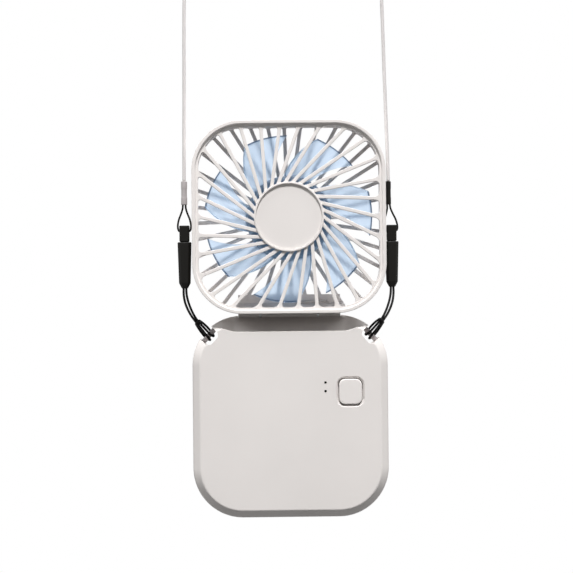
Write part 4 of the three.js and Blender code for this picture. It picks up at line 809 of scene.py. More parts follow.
def loft(name, rings, closed=False, capped=True):
    """Joins rings of equally many points. A closed loft comes back to its first ring."""
    count = len(rings[0])
    levels = len(rings) if closed else len(rings) - 1
    faces = []
    for level in range(levels):
        here, there = level * count, (level + 1) % len(rings) * count
        for k in range(count):
            after = (k + 1) % count
            faces.append((here + k, here + after, there + after, there + k))
    if capped and not closed:
        faces.append(tuple(range(count)))
        faces.append(tuple(range((len(rings) - 1) * count, len(rings) * count)))
    return mesh_object(name, [point for ring in rings for point in ring], faces)


def slab(name, size, corners, at=(0.0, 0.0), closed=False):
    """A rounded-rectangle loft. Size is width, height and corner radius in millimetres."""
    width, height, radius = size
    rings = [
        rounded_ring(width - 2 * side, height - 2 * end, max(radius - side, SMALLEST_RADIUS), depth, *at)
        for depth, side, end in round_corners(corners, closed)
    ]
    return loft(name, rings, closed)


def prism(name, outline, front, back, shear=0.0):
    """An outline of x and z drawn out between two depths. Shear lifts it as it goes back."""
    rings = [[place(x, depth, z + shear * (depth - front)) for x, z in outline] for depth in (front, back)]
    return loft(name, rings)


print("loft helpers ready")

# %% Turned pieces
TURN_STEPS = 96


def turned(name, profile, axis_point, axis, across):
    """A solid turned about an axis from corners of distance along, radius and rounding."""
    corners = [(along, radius, 0.0, size) for along, radius, size in profile]
    ends = round_corners(corners, False)
    axis, across = Vector(axis), Vector(across)
    upward = axis.cross(across)
    points, faces, rows = [], [], []
    for along, radius, _ in ends:
        centre = axis_point + axis * along * MM
        if radius < 1e-6:
            rows.append([len(points)])
            points.append(centre)
            continue
        rows.append(list(range(len(points), len(points) + TURN_STEPS)))
        for k in range(TURN_STEPS):
            turn = 2 * math.pi * k / TURN_STEPS
            points.append(centre + (across * math.cos(turn) + upward * math.sin(turn)) * radius * MM)
    for low, high in zip(rows, rows[1:]):
        for k in range(TURN_STEPS):
            after = (k + 1) % TURN_STEPS
            around = [(low, k), (low, after), (high, after), (high, k)]
            faces.append(tuple(dict.fromkeys(row[step % len(row)] for row, step in around)))
    return mesh_object(name, points, [face for face in faces if len(face) > 2])


def bar_y(name, radius, front, back, x=0.0, z=0.0, rounding=0.0):
    """A round bar that runs from front to back."""
    profile = [(front, 0, 0), (front, radius, rounding), (back, radius, rounding), (back, 0, 0)]
    return turned(name, profile, place(x, 0, z), (0, 1, 0), (1, 0, 0))


def bar_x(name, radius, left, right, y, z, rounding=0.0):
    """A round bar that runs from left to right."""
    profile = [(left, 0, 0), (left, radius, rounding), (right, radius, rounding), (right, 0, 0)]
    return turned(name, profile, place(0, y, z), (1, 0, 0), (0, 1, 0))


print("turning helpers ready")

# %% [markdown]
# ## The buckles
# Each side has a crimped ferrule on the string, a buckle tip on the thin loop, and a tapered buckle body on
# the lower loop. The ferrules are round and so are turned. The buckles are lofted upright from chamfered
# sections, because the real ones are small injection mouldings with facets that catch the light.

# %% Ferrules
FERRULE_RADIUS = {LEFT: 1.4, RIGHT: 1.25}
FERRULE_EDGE = 0.3
CRIMP_SHARE = 0.93
CRIMP_FLAT = 1.8
CRIMP_END = 2.2
CRIMP_EDGE = 0.4


def ferrule(side):
    radius = FERRULE_RADIUS[side]
    crimp = radius * CRIMP_SHARE
    bottom, top = FERRULE_BOTTOM, FERRULE_TOP
    middle = (bottom + top) / 2
    profile = [
        (bottom, 0, 0), (bottom, radius, FERRULE_EDGE),
        (middle - CRIMP_END, radius, CRIMP_EDGE), (middle - CRIMP_FLAT, crimp, CRIMP_EDGE),
        (middle + CRIMP_FLAT, crimp, CRIMP_EDGE), (middle + CRIMP_END, radius, CRIMP_EDGE),
        (top, radius, FERRULE_EDGE), (top, 0, 0),
    ]
    axis_point = place(FERRULE_X[side], CORD_Y[side], 0)
    name = "ferrule_" + SIDE_NAME[side] + "_sleeve"
    return finished(turned(name, profile, axis_point, (0, 0, 1), (1, 0, 0)))


for side, slot in ((LEFT, "grey_plastic"), (RIGHT, "black_plastic")):
    stand_for(ferrule(side), "ferrule_" + SIDE_NAME[side], slot)
print("two ferrules crimped")

# %% [markdown]
# A section is a height, a width, a depth and the chamfer of its four corners. The tip is a plug with a tongue
# below it. The body is hollow for the tongue and draws in at its lower end, where the loop leaves it.

# %% Buckle tips and bodies
BUCKLE_EDGE = 0.12
TIP_HOLE_RADIUS = 0.75
TIP_HOLE_HALF = 4.0
TIP_SECTIONS = [
    (-24.2, 3.2, 1.6, 0.5), (-23.2, 3.7, 2.0, 0.4), (-10.9, 3.7, 2.0, 0.4), (-10.7, 4.4, 3.0, 0.5),
    (-10.5, 4.6, 3.2, 0.5), (-5.2, 4.6, 3.2, 0.5), (-5.0, 4.7, 3.3, 0.4), (-3.6, 4.7, 3.3, 0.4),
    (-3.3, 4.3, 2.9, 0.4),
]
BODY_SECTIONS = [
    (BUCKLE_BOTTOM, 2.8, 2.2, 0.6), (-32.1, 3.1, 2.5, 0.7), (-30.0, 5.3, 4.2, 1.2),
    (-29.6, 5.35, 4.3, 1.2), (-12.2, 6.35, 4.4, 1.3), (-11.4, 6.4, 4.4, 1.2), (-11.0, 6.0, 4.0, 1.1),
]
TONGUE_ROOM = [(-24.6, 4.3, 2.6, 0.3), (-10.0, 4.3, 2.6, 0.3)]


def chamfered_section(width, depth, chamfer):
    """Eight corners of a rectangle with its corners cut off."""
    half, deep = width / 2, depth / 2
    return [
        (half, -deep + chamfer), (half, deep - chamfer), (half - chamfer, deep), (-half + chamfer, deep),
        (-half, deep - chamfer), (-half, -deep + chamfer), (-half + chamfer, -deep), (half - chamfer, -deep),
    ]


def upright_loft(name, x, y, sections):
    rings = [
        [place(x + dx, y + dy, z) for dx, dy in chamfered_section(width, depth, chamfer)]
        for z, width, depth, chamfer in sections
    ]
    return loft(name, rings)


def buckle_tip(side):
    x, y = CORD_X[side], CORD_Y[side]
    tip = upright_loft("buckle_tip_" + SIDE_NAME[side] + "_moulding", x, y, TIP_SECTIONS)
    hole = bar_x("tip_hole", TIP_HOLE_RADIUS, x - TIP_HOLE_HALF, x + TIP_HOLE_HALF, y, TIP_HOLE_Z)
    return finished(boolean(tip, [hole]), BUCKLE_EDGE)


def buckle_body(side):
    x, y = CORD_X[side], CORD_Y[side]
    body = upright_loft("buckle_body_" + SIDE_NAME[side] + "_moulding", x, y, BODY_SECTIONS)
    room = upright_loft("tongue_room", x, y, TONGUE_ROOM)
    return finished(boolean(body, [room]), BUCKLE_EDGE)


for side in (LEFT, RIGHT):
    stand_for(buckle_tip(side), "buckle_tip_" + SIDE_NAME[side], "black_plastic")
    stand_for(buckle_body(side), "buckle_body_" + SIDE_NAME[side], "black_plastic")
print("buckles moulded")

# %% [markdown]
# ## The fan head's front cover
# One moulding holds the rim, the slats and the ring round the hub. The rim is a closed profile lofted round
# the square. The slats all touch one small circle about the axis, so each is the same bar turned by an equal
# step, and only its length differs. Geometry Nodes shoots a ray along every slat at the frame's inner wall,
# stretches the bar to that distance and puts a flared foot where it lands. The foot is sheared along its slat
# by the slope of the wall there, so that its end lies flat in the wall.

# %% Sizes of the head
HEAD = (89.2, 89.0, 23.0)
HEAD_FRONT = -23.0
GRILLE_FRONT = -21.9
GRILLE_BACK = -19.3
HEAD_JOINT = -12.0
SPLIT = 0.15  # half the seam that shows between two halves
HEAD_WALL = 1.2
SIDE_BORDER = 2.9
END_BORDER = 2.85
HEAD_EDGE = 0.4
RIM_LIP = 1.6
RIM_FOOT = 1.9
FRONT_FRAME = [
    (HEAD_JOINT - SPLIT, 0, 0, 0.2), (HEAD_FRONT, 0, 0, HEAD_EDGE), (HEAD_FRONT, RIM_LIP, RIM_LIP, 0.4),
    (GRILLE_FRONT, RIM_FOOT, RIM_FOOT, 0.05), (GRILLE_FRONT, SIDE_BORDER, END_BORDER, 0.05),
    (GRILLE_BACK, SIDE_BORDER, END_BORDER, 0.2), (GRILLE_BACK, HEAD_WALL, HEAD_WALL, 0),
    (HEAD_JOINT - SPLIT, HEAD_WALL, HEAD_WALL, 0),
]
print("opening of the head is", HEAD[0] - 2 * SIDE_BORDER, "mm wide")

# %% A slat and its flared foot
FOOT_STEPS = 6
FOOT_EDGE = 0.15


def slat_bar(name, width, depth, rounding):
    """A bar one metre long along X, with rounded edges, to be stretched to each slat's length."""
    quarters = ((-1, -1), (1, -1), (1, 1), (-1, 1))
    outline = round_corners([(y * depth / 2, z * width / 2, 0, rounding) for y, z in quarters], True)
    rings = [[Vector((x, y * MM, z * MM)) for y, z, _ in outline] for x in (0.0, 1.0)]
    return finished(loft(name, rings))


def flared_foot(name, width, depth, fillet, root):
    """The end of a slat where it widens into the frame, drawn in the slat's own direction."""
    upper = []
    for step in range(FOOT_STEPS + 1):
        turn = math.radians(90 * step / FOOT_STEPS)
        upper.append((-fillet + fillet * math.sin(turn), width / 2 + fillet * (1 - math.cos(turn))))
    upper.append((root, width / 2 + fillet))
    outline = upper + [(x, -z) for x, z in reversed(upper)]
    rings = [[Vector((x * MM, y * depth / 2 * MM, z * MM)) for x, z in outline] for y in (-1, 1)]
    return finished(loft(name, rings), FOOT_EDGE)


print("slat and foot patterns ready")

# %% [markdown]
# Geometry Nodes does its arithmetic one node at a time, so the tree is long. Helpers with short names keep it
# readable: each makes one node and gives back its output. The foot needs most of them. Its points remember
# how far they are to the side of the slat, and each instance remembers its angle and the slant of the wall.

# %% Geometry Nodes: short names for common nodes
def geometry_tree(name, inputs):
    """A geometry tree with a mesh input, named inputs, and one mesh output."""
    tree = bpy.data.node_groups.new(name, "GeometryNodeTree")
    tree.interface.new_socket("Geometry", in_out="INPUT", socket_type="NodeSocketGeometry")
    identifiers = {}
    for socket, kind in inputs:
        identifiers[socket] = tree.interface.new_socket(socket, in_out="INPUT", socket_type=kind).identifier
    tree.interface.new_socket("Geometry", in_out="OUTPUT", socket_type="NodeSocketGeometry")
    return tree, tree.nodes.new("NodeGroupInput"), tree.nodes.new("NodeGroupOutput"), identifiers


def xyz(tree, x, y, z):
    node = tree.nodes.new("ShaderNodeCombineXYZ")
    for value, socket in zip((x, y, z), node.inputs):
        feed(tree, value, socket)
    return node.outputs[0]


def vector_add(tree, first, second):
    node = tree.nodes.new("ShaderNodeVectorMath")
    node.operation = "ADD"
    feed(tree, first, node.inputs[0])
    feed(tree, second, node.inputs[1])
    return node.outputs[0]


def picked_object(tree, socket):
    node = tree.nodes.new("GeometryNodeObjectInfo")
    tree.links.new(socket, node.inputs["Object"])
    return node.outputs["Geometry"]


def put_instances(tree, points, instance, rotation, scale=None):
    turn = tree.nodes.new("FunctionNodeEulerToRotation")
    tree.links.new(rotation, turn.inputs[0])
    node = tree.nodes.new("GeometryNodeInstanceOnPoints")
    tree.links.new(points, node.inputs["Points"])
    tree.links.new(instance, node.inputs["Instance"])
    tree.links.new(turn.outputs[0], node.inputs["Rotation"])
    if scale is not None:
        tree.links.new(scale, node.inputs["Scale"])
    return node.outputs[0]


def points_at(tree, count, position):
    node = tree.nodes.new("GeometryNodePoints")
    tree.links.new(count, node.inputs["Count"])
    tree.links.new(position, node.inputs["Position"])
    return node.outputs[0]


def dot(tree, first, second):
    node = tree.nodes.new("ShaderNodeVectorMath")
    node.operation = "DOT_PRODUCT"
    feed(tree, first, node.inputs[0])
    feed(tree, second, node.inputs[1])
    return node.outputs["Value"]


print("short names for common nodes ready")

# %% Geometry Nodes: feet that follow the wall
def remembered(tree, geometry, name, value):
    """Stores a value on every point, under a name that it can be read back by."""
    node = tree.nodes.new("GeometryNodeStoreNamedAttribute")
    node.inputs["Name"].default_value = name
    tree.links.new(geometry, node.inputs["Geometry"])
    tree.links.new(value, node.inputs["Value"])
    return node.outputs[0]


def recalled(tree, name):
    node = tree.nodes.new("GeometryNodeInputNamedAttribute")
    node.inputs["Name"].default_value = name
    return node.outputs[0]


def slid_along(tree, instances):
    """Slides every point of a foot along its slat, so that the foot's end lies in the slanting wall."""
    realize = tree.nodes.new("GeometryNodeRealizeInstances")
    tree.links.new(instances, realize.inputs[0])
    slide = arithmetic(tree, "MULTIPLY", recalled(tree, "across"), recalled(tree, "slant"))
    slide = arithmetic(tree, "MULTIPLY", slide, -1.0)
    angle = recalled(tree, "angle")
    parts = [
        arithmetic(tree, "MULTIPLY", arithmetic(tree, kind, angle), slide) for kind in ("COSINE", "SINE")
    ]
    move = tree.nodes.new("GeometryNodeSetPosition")
    tree.links.new(realize.outputs[0], move.inputs["Geometry"])
    tree.links.new(xyz(tree, parts[0], 0.0, parts[1]), move.inputs["Offset"])
    return move.outputs[0]


def end_tree(tree, geometries, material, end):
    """Join, Realize Instances and Set Material, which every tree here ends with."""
    join = tree.nodes.new("GeometryNodeJoinGeometry")
    for geometry in geometries:
        tree.links.new(geometry, join.inputs[0])
    realize = tree.nodes.new("GeometryNodeRealizeInstances")
    finish = tree.nodes.new("GeometryNodeSetMaterial")
    tree.links.new(join.outputs[0], realize.inputs[0])
    tree.links.new(realize.outputs[0], finish.inputs["Geometry"])
    tree.links.new(material, finish.inputs["Material"])
    tree.links.new(finish.outputs[0], end.inputs[0])


print("tree ends ready")

# %% Geometry Nodes: bars that reach the frame
def frame_bars_tree():
    tree, start, end, names = geometry_tree("frame_bars", [
        ("Count", "NodeSocketInt"), ("Phase", FLOAT), ("Tangent", FLOAT), ("Inner Radius", FLOAT),
        ("Root", FLOAT), ("Axis", VECTOR), ("Bar", "NodeSocketObject"), ("Foot", "NodeSocketObject"),
        ("Finish", "NodeSocketMaterial"),
    ])
    index = tree.nodes.new("GeometryNodeInputIndex").outputs[0]
    step = arithmetic(tree, "DIVIDE", 2 * math.pi, start.outputs["Count"])
    angle = arithmetic(tree, "MULTIPLY_ADD", index, step, start.outputs["Phase"])
    cosine, sine = (arithmetic(tree, kind, angle) for kind in ("COSINE", "SINE"))
    way = xyz(tree, cosine, 0.0, sine)
    tangent, inner, root = (start.outputs[name] for name in ("Tangent", "Inner Radius", "Root"))
    foot_x = arithmetic(tree, "MULTIPLY", arithmetic(tree, "MULTIPLY", sine, -1.0), tangent)
    foot_z = arithmetic(tree, "MULTIPLY", cosine, tangent)
    foot = vector_add(tree, xyz(tree, foot_x, 0.0, foot_z), start.outputs["Axis"])
    ray = tree.nodes.new("GeometryNodeRaycast")
    tree.links.new(start.outputs["Geometry"], ray.inputs["Target Geometry"])
    tree.links.new(foot, ray.inputs["Source Position"])
    tree.links.new(way, ray.inputs["Ray Direction"])
    squares = [arithmetic(tree, "MULTIPLY", value, value) for value in (inner, tangent)]
    begin = arithmetic(tree, "SQRT", arithmetic(tree, "SUBTRACT", *squares))
    length = arithmetic(tree, "ADD", arithmetic(tree, "SUBTRACT", ray.outputs["Hit Distance"], begin), root)
    begin_x = arithmetic(tree, "MULTIPLY", cosine, begin)
    begin_z = arithmetic(tree, "MULTIPLY", sine, begin)
    begin_at = vector_add(tree, foot, xyz(tree, begin_x, 0.0, begin_z))
    turn = xyz(tree, 0.0, arithmetic(tree, "MULTIPLY", angle, -1.0), 0.0)
    count = start.outputs["Count"]
    bars = put_instances(tree, points_at(tree, count, begin_at), picked_object(tree, start.outputs["Bar"]),
                         turn, xyz(tree, length, 1.0, 1.0))
    side = xyz(tree, arithmetic(tree, "MULTIPLY", sine, -1.0), 0.0, cosine)
    wall = ray.outputs["Hit Normal"]
    slant = arithmetic(tree, "DIVIDE", dot(tree, side, wall), dot(tree, way, wall))
    feet_at = remembered(tree, points_at(tree, count, ray.outputs["Hit Position"]), "slant", slant)
    heights = tree.nodes.new("ShaderNodeSeparateXYZ")
    tree.links.new(tree.nodes.new("GeometryNodeInputPosition").outputs[0], heights.inputs[0])
    foot_shape = picked_object(tree, start.outputs["Foot"])
    foot_shape = remembered(tree, foot_shape, "across", heights.outputs["Z"])
    feet_at = remembered(tree, feet_at, "angle", angle)
    feet = slid_along(tree, put_instances(tree, feet_at, foot_shape, turn))
    end_tree(tree, [bars, feet], start.outputs["Finish"], end)
    return tree, names


FRAME_BARS, FRAME_BARS_INPUTS = frame_bars_tree()
print("tree", FRAME_BARS.name, "has", len(FRAME_BARS.nodes), "nodes")

# %% Bars grown on a frame
BAR_ROUNDING = 0.25
BAR_ROOT = 0.8
FOOT_ROOT = 1.2
FOOT_PROUD = 0.05
WALL_MARGIN = 3.0


def grown(name, carrier, tree, names, values):
    """Runs a geometry tree on a carrier mesh and keeps the result as a plain mesh."""
    carrier.name = name
    step = carrier.modifiers.new(tree.name, "NODES")
    step.node_group = tree
    for socket, value in values.items():
        step[names[socket]] = value
    return bake(carrier)


def opening_wall(side, end, front, back):
    """The inner wall of the frame, which the rays hit."""
    size = (HEAD[0] - 2 * side, HEAD[1] - 2 * end, HEAD[2] - side)
    rings = [rounded_ring(*size, depth) for depth in (front - WALL_MARGIN, back + WALL_MARGIN)]
    return loft("opening_wall", rings, capped=False)


def frame_bars(name, borders, count, phase, tangent, inner, width, front, back, fillet):
    """Bars from an inner circle to the frame. They lie on lines that touch the tangent circle."""
    depth = back - front
    bar = slat_bar("slat_pattern", width, depth, BAR_ROUNDING)
    foot = flared_foot("foot_pattern", width, depth + FOOT_PROUD, fillet, FOOT_ROOT)
    made = grown(name, opening_wall(*borders, front, back), FRAME_BARS, FRAME_BARS_INPUTS, {
        "Count": count, "Phase": math.radians(phase), "Tangent": tangent * MM, "Inner Radius": inner * MM,
        "Root": BAR_ROOT * MM, "Axis": place(0, (front + back) / 2, 0), "Bar": bar, "Foot": foot,
        "Finish": FINISHES["shell"],
    })
    discard(bar, foot)
    print(name, "has", len(made.data.polygons), "faces")
    return made


# %% [markdown]
# The ring round the hub is turned, with a floor that the cap is pressed against. Frame, slats and ring are
# joined as the one moulding that they are. The cap stays a piece of its own.

# %% Front cover
SLAT_COUNT = 30
SLAT_WIDTH = 1.6
SLAT_TANGENT = 9.7
SLAT_PHASE = -26.1
SLAT_INSET = 0.06
SLAT_ROOT = 0.5
SLAT_FILLET = 1.8
HUB_RING_RADIUS = 16.1
HUB_RING_WALL = 0.9
CAP_CLEARANCE = 0.06
HUB_FRONT = -22.5
CAP_FACE = -21.7
CAP_SEAT = -20.3
HUB_BACK = -18.5


def hub_ring():
    """The ring round the cap, with a floor behind it that the cap is pressed against."""
    wall = HUB_RING_RADIUS - HUB_RING_WALL
    profile = [
        (CAP_SEAT, 0, 0), (CAP_SEAT, wall, 0.05), (HUB_FRONT, wall, 0.15), (HUB_FRONT, HUB_RING_RADIUS, 0.3),
        (HUB_BACK, HUB_RING_RADIUS, 0.3), (HUB_BACK, 0, 0),
    ]
    return finished(turned("hub_ring", profile, place(0, 0, 0), (0, 1, 0), (1, 0, 0)))


front_frame = finished(slab("front_frame", HEAD, FRONT_FRAME, closed=True))
slats = frame_bars(
    "front_slats", (SIDE_BORDER, END_BORDER), SLAT_COUNT, SLAT_PHASE, SLAT_TANGENT,
    inner=HUB_RING_RADIUS - SLAT_ROOT, width=SLAT_WIDTH, front=GRILLE_FRONT + SLAT_INSET,
    back=GRILLE_BACK - SLAT_INSET, fillet=SLAT_FILLET)
stand_for(joined("head_front_cover_moulding", [front_frame, slats, hub_ring()]), "head_front_cover", "shell")

cap_radius = HUB_RING_RADIUS - HUB_RING_WALL - CAP_CLEARANCE
cap = bar_y("hub_cap_disc", cap_radius, CAP_FACE, CAP_SEAT - GAP, rounding=0.1)
stand_for(finished(cap), "hub_cap", "cap")
print("front cover and cap in place")

# %% [markdown]
# ## The back cover of the head
# The rear grille is plainer: 36 radial bars from a motor plate to the frame, made by the same tree with its
# tangent circle shrunk to nothing. A lip inside the frame goes behind the front cover's wall and closes the
# seam. A band along the bottom carries the two outer knuckles of the hinge.

# %% Frame and motor plate
BACK_BORDER = 1.3
PLATE_FACE = -2.0
LIP_FRONT = -14.2
LIP_BACK = -10.8
LIP_OUTSIDE = HEAD_WALL + GAP
LIP_INSIDE = LIP_OUTSIDE + 1.0
MOTOR_PLATE_RADIUS = 19.0
MOTOR_PLATE_EDGE = 0.4
MOTOR_BOSS_RADIUS = 5.0
MOTOR_BOSS_FRONT = -4.6
MOTOR_BORE = 3.6
BACK_FRAME = [
    (HEAD_JOINT + SPLIT, 0, 0, 0.2), (0, 0, 0, HEAD_EDGE), (0, BACK_BORDER, BACK_BORDER, 0.2),
    (PLATE_FACE, BACK_BORDER, BACK_BORDER, 0.1), (PLATE_FACE, HEAD_WALL, HEAD_WALL, 0),
    (LIP_BACK, HEAD_WALL, HEAD_WALL, 0), (LIP_BACK, LIP_INSIDE, LIP_INSIDE, 0),
    (LIP_FRONT, LIP_INSIDE, LIP_INSIDE, 0.2), (LIP_FRONT, LIP_OUTSIDE, LIP_OUTSIDE, 0.2),
    (HEAD_JOINT + SPLIT, LIP_OUTSIDE, LIP_OUTSIDE, 0),
]


def motor_plate():
    """The plate that the bars run into, with a boss and a bore that hold the motor's bearing."""
    plate, boss, bore = MOTOR_PLATE_RADIUS + MOTOR_PLATE_EDGE, MOTOR_BOSS_RADIUS, MOTOR_BORE
    profile = [
        (0, 0, 0), (0, plate, 0.4), (PLATE_FACE, plate, 0.3), (PLATE_FACE, boss, 0.3),
        (MOTOR_BOSS_FRONT, boss, 0.3), (MOTOR_BOSS_FRONT, bore, 0.2), (PLATE_FACE, bore, 0),
        (PLATE_FACE, 0, 0),
    ]
    return finished(turned("motor_plate", profile, place(0, 0, 0), (0, 1, 0), (1, 0, 0)))


print("back frame has", len(BACK_FRAME), "profile corners")

# %% [markdown]
# The hinge has three knuckles on one axis: the base's wide one in the middle and the head's two outside it.
# The head's knuckles grow from a hump on the band, and what would foul the base's knuckle is cut away.

# %% The head's half of the hinge
BAND_HALF = 24.0
BAND_TOP = -35.5
BAND_LOW = -43.6
BAND_INSET = 0.04
HINGE_HUMP = 5.9
HUMP_HALF = 26.0
HUMP_INSET = 0.06
INSIDE_HALF = 30.0
INSIDE_TOP = -30.0
INSIDE_LOW = -44.1
INSIDE_FRONT = -11.0
KNUCKLE_RADIUS = 3.5
KNUCKLE_EDGE = 0.3
KNUCKLE_ROOM = 3.9
OUTER_KNUCKLE_START = 14.0
OUTER_KNUCKLE_END = 24.0
PIN_BORE = 1.9
HINGE_EDGE = 0.15


def hinge_bar(name, radius, left, right, rounding=0.0):
    return bar_x(name, radius, left, right, HINGE_Y, HINGE_Z, rounding)


def middle_bar(name, radius, half, rounding=0.0):
    return hinge_bar(name, radius, -half, half, rounding)


def side_bar(name, radius, side, near, far, rounding=0.0):
    return hinge_bar(name, radius, *sorted((side * near, side * far)), rounding)


def upright_box(name, half, low, high, front, back):
    return prism(name, [(-half, low), (half, low), (half, high), (-half, high)], front, back)


def hinge_band():
    """The solid band and hump that the outer knuckles grow from, with room for the base's knuckle."""
    band = upright_box("hinge_band", BAND_HALF, BAND_LOW, BAND_TOP, PLATE_FACE + BAND_INSET, -BAND_INSET)
    hump = middle_bar("hinge_hump", HINGE_HUMP, HUMP_HALF)
    inside = upright_box("inside_head", INSIDE_HALF, INSIDE_LOW, INSIDE_TOP, INSIDE_FRONT, -HUMP_INSET)
    boolean(hump, [inside], "INTERSECT")
    boolean(band, [hump], "UNION")
    boolean(band, [middle_bar("centre_room", KNUCKLE_ROOM, OUTER_KNUCKLE_START)])
    boolean(band, [
        side_bar("knuckle", KNUCKLE_RADIUS, side, OUTER_KNUCKLE_START, OUTER_KNUCKLE_END, KNUCKLE_EDGE)
        for side in (LEFT, RIGHT)
    ], "UNION")
    return finished(boolean(band, [middle_bar("pin_bore", PIN_BORE, INSIDE_HALF)]), HINGE_EDGE)


print("hinge axis is", round(HINGE_Y, 2), "mm behind the flat backs")

# %% Back cover
BAR_COUNT = 36
BAR_WIDTH = 1.7
BAR_PHASE = 2.0
BAR_INSET = 0.08
BAR_FILLET = 0.8

back_frame = slab("back_frame", HEAD, BACK_FRAME, closed=True)
frame_room = middle_bar("frame_room", KNUCKLE_ROOM, OUTER_KNUCKLE_START)
back_frame = finished(boolean(back_frame, [frame_room]))
bars = frame_bars(
    "rear_bars", (BACK_BORDER, BACK_BORDER), BAR_COUNT, BAR_PHASE, 0.0,
    inner=MOTOR_PLATE_RADIUS, width=BAR_WIDTH, front=PLATE_FACE + BAR_INSET, back=-BAR_INSET,
    fillet=BAR_FILLET)
stand_for(joined("head_back_cover_moulding", [back_frame, bars, motor_plate(), hinge_band()]),
          "head_back_cover", "shell")
print("back cover in place")

# %% [markdown]
# ## The impeller
# Seven blades repeat round the axis and each follows one rule: as it runs outwards the chord narrows, the
# middle line sweeps back, and the leading edge stands further forward than the trailing edge. Geometry Nodes
# bends a flat grid by that rule, and Solidify gives the sheet its thickness.

# %% Geometry Nodes: swept blades
BLADE_COUNT = 7
BLADE_PHASE = 54.0
BLADE_SWEEP = 24.0
BLADE_ROOT_ANGLE = 35.0
BLADE_TIP_ANGLE = 30.0
BLADE_THICKNESS = 1.1
BLADE_DEPTH = 8.0
BLADE_TWIST = 1.6
BLADE_ROWS = 25
BLADE_COLUMNS = 17


def blades_tree():
    tree, start, end, names = geometry_tree("swept_blades", [
        ("Count", "NodeSocketInt"), ("Phase", FLOAT), ("Sweep", FLOAT), ("Root Angle", FLOAT),
        ("Tip Angle", FLOAT), ("Root Radius", FLOAT), ("Tip Radius", FLOAT), ("Depth", FLOAT),
        ("Twist", FLOAT), ("Camber", FLOAT), ("Axis", VECTOR), ("Finish", "NodeSocketMaterial"),
    ])
    grid = tree.nodes.new("GeometryNodeMeshGrid")
    grid.inputs["Vertices X"].default_value = BLADE_ROWS
    grid.inputs["Vertices Y"].default_value = BLADE_COLUMNS
    split = tree.nodes.new("ShaderNodeSeparateXYZ")
    tree.links.new(tree.nodes.new("GeometryNodeInputPosition").outputs[0], split.inputs[0])
    outward = arithmetic(tree, "ADD", split.outputs["X"], 0.5)
    over = split.outputs["Y"]

    def between(low, high):
        span = arithmetic(tree, "SUBTRACT", start.outputs[high], start.outputs[low])
        return arithmetic(tree, "MULTIPLY_ADD", span, outward, start.outputs[low])

    radius = between("Root Radius", "Tip Radius")
    chord = arithmetic(tree, "MULTIPLY", between("Root Angle", "Tip Angle"), over)
    inward = arithmetic(tree, "SUBTRACT", 1.0, outward)
    turn = arithmetic(tree, "MULTIPLY_ADD", start.outputs["Sweep"], inward, chord)
    flatter = arithmetic(tree, "MULTIPLY", start.outputs["Twist"], outward)
    depth = arithmetic(tree, "MULTIPLY", arithmetic(tree, "SUBTRACT", start.outputs["Depth"], flatter), over)
    bow = arithmetic(tree, "MULTIPLY_ADD", arithmetic(tree, "MULTIPLY", over, over), -4.0, 1.0)
    y = arithmetic(tree, "SUBTRACT", arithmetic(tree, "MULTIPLY", start.outputs["Camber"], bow), depth)
    x = arithmetic(tree, "MULTIPLY", radius, arithmetic(tree, "COSINE", turn))
    z = arithmetic(tree, "MULTIPLY", radius, arithmetic(tree, "SINE", turn))
    bend = tree.nodes.new("GeometryNodeSetPosition")
    tree.links.new(grid.outputs["Mesh"], bend.inputs["Geometry"])
    tree.links.new(xyz(tree, x, y, z), bend.inputs["Position"])
    index = tree.nodes.new("GeometryNodeInputIndex").outputs[0]
    step = arithmetic(tree, "DIVIDE", 2 * math.pi, start.outputs["Count"])
    angle = arithmetic(tree, "MULTIPLY_ADD", index, step, start.outputs["Phase"])
    points = points_at(tree, start.outputs["Count"], start.outputs["Axis"])
    turn_back = xyz(tree, 0.0, arithmetic(tree, "MULTIPLY", angle, -1.0), 0.0)
    end_tree(tree, [put_instances(tree, points, bend.outputs[0], turn_back)], start.outputs["Finish"], end)
    return tree, names


SWEPT_BLADES, SWEPT_BLADES_INPUTS = blades_tree()
print("tree", SWEPT_BLADES.name, "has", len(SWEPT_BLADES.nodes), "nodes")

# %% [markdown]
# The blades stand on a shallow cup that fits over the rotor's yoke. The cup is turned, and its bore leaves
# room for the shaft.

# %% Impeller
ROTOR_FRONT = -13.2
ROTOR_BACK = -4.6
ROTOR_HUB_WALL = 1.3
SHAFT_BORE = 1.8


def impeller_hub():
    """The cup that the blades stand on, which fits over the rotor's yoke."""
    inner = ROTOR_HUB_RADIUS - ROTOR_HUB_WALL
    floor = ROTOR_FRONT + ROTOR_HUB_WALL
    profile = [
        (ROTOR_FRONT, 0, 0), (ROTOR_FRONT, ROTOR_HUB_RADIUS, 1.2), (ROTOR_BACK, ROTOR_HUB_RADIUS, 0.3),
        (ROTOR_BACK, inner, 0.2), (floor, inner, 0.3), (floor, 0, 0),
    ]
    hub = turned("impeller_hub", profile, place(0, 0, 0), (0, 1, 0), (1, 0, 0))
    return finished(boolean(hub, [bar_y("shaft_bore", SHAFT_BORE, ROTOR_FRONT - PAST, floor + PAST)]))


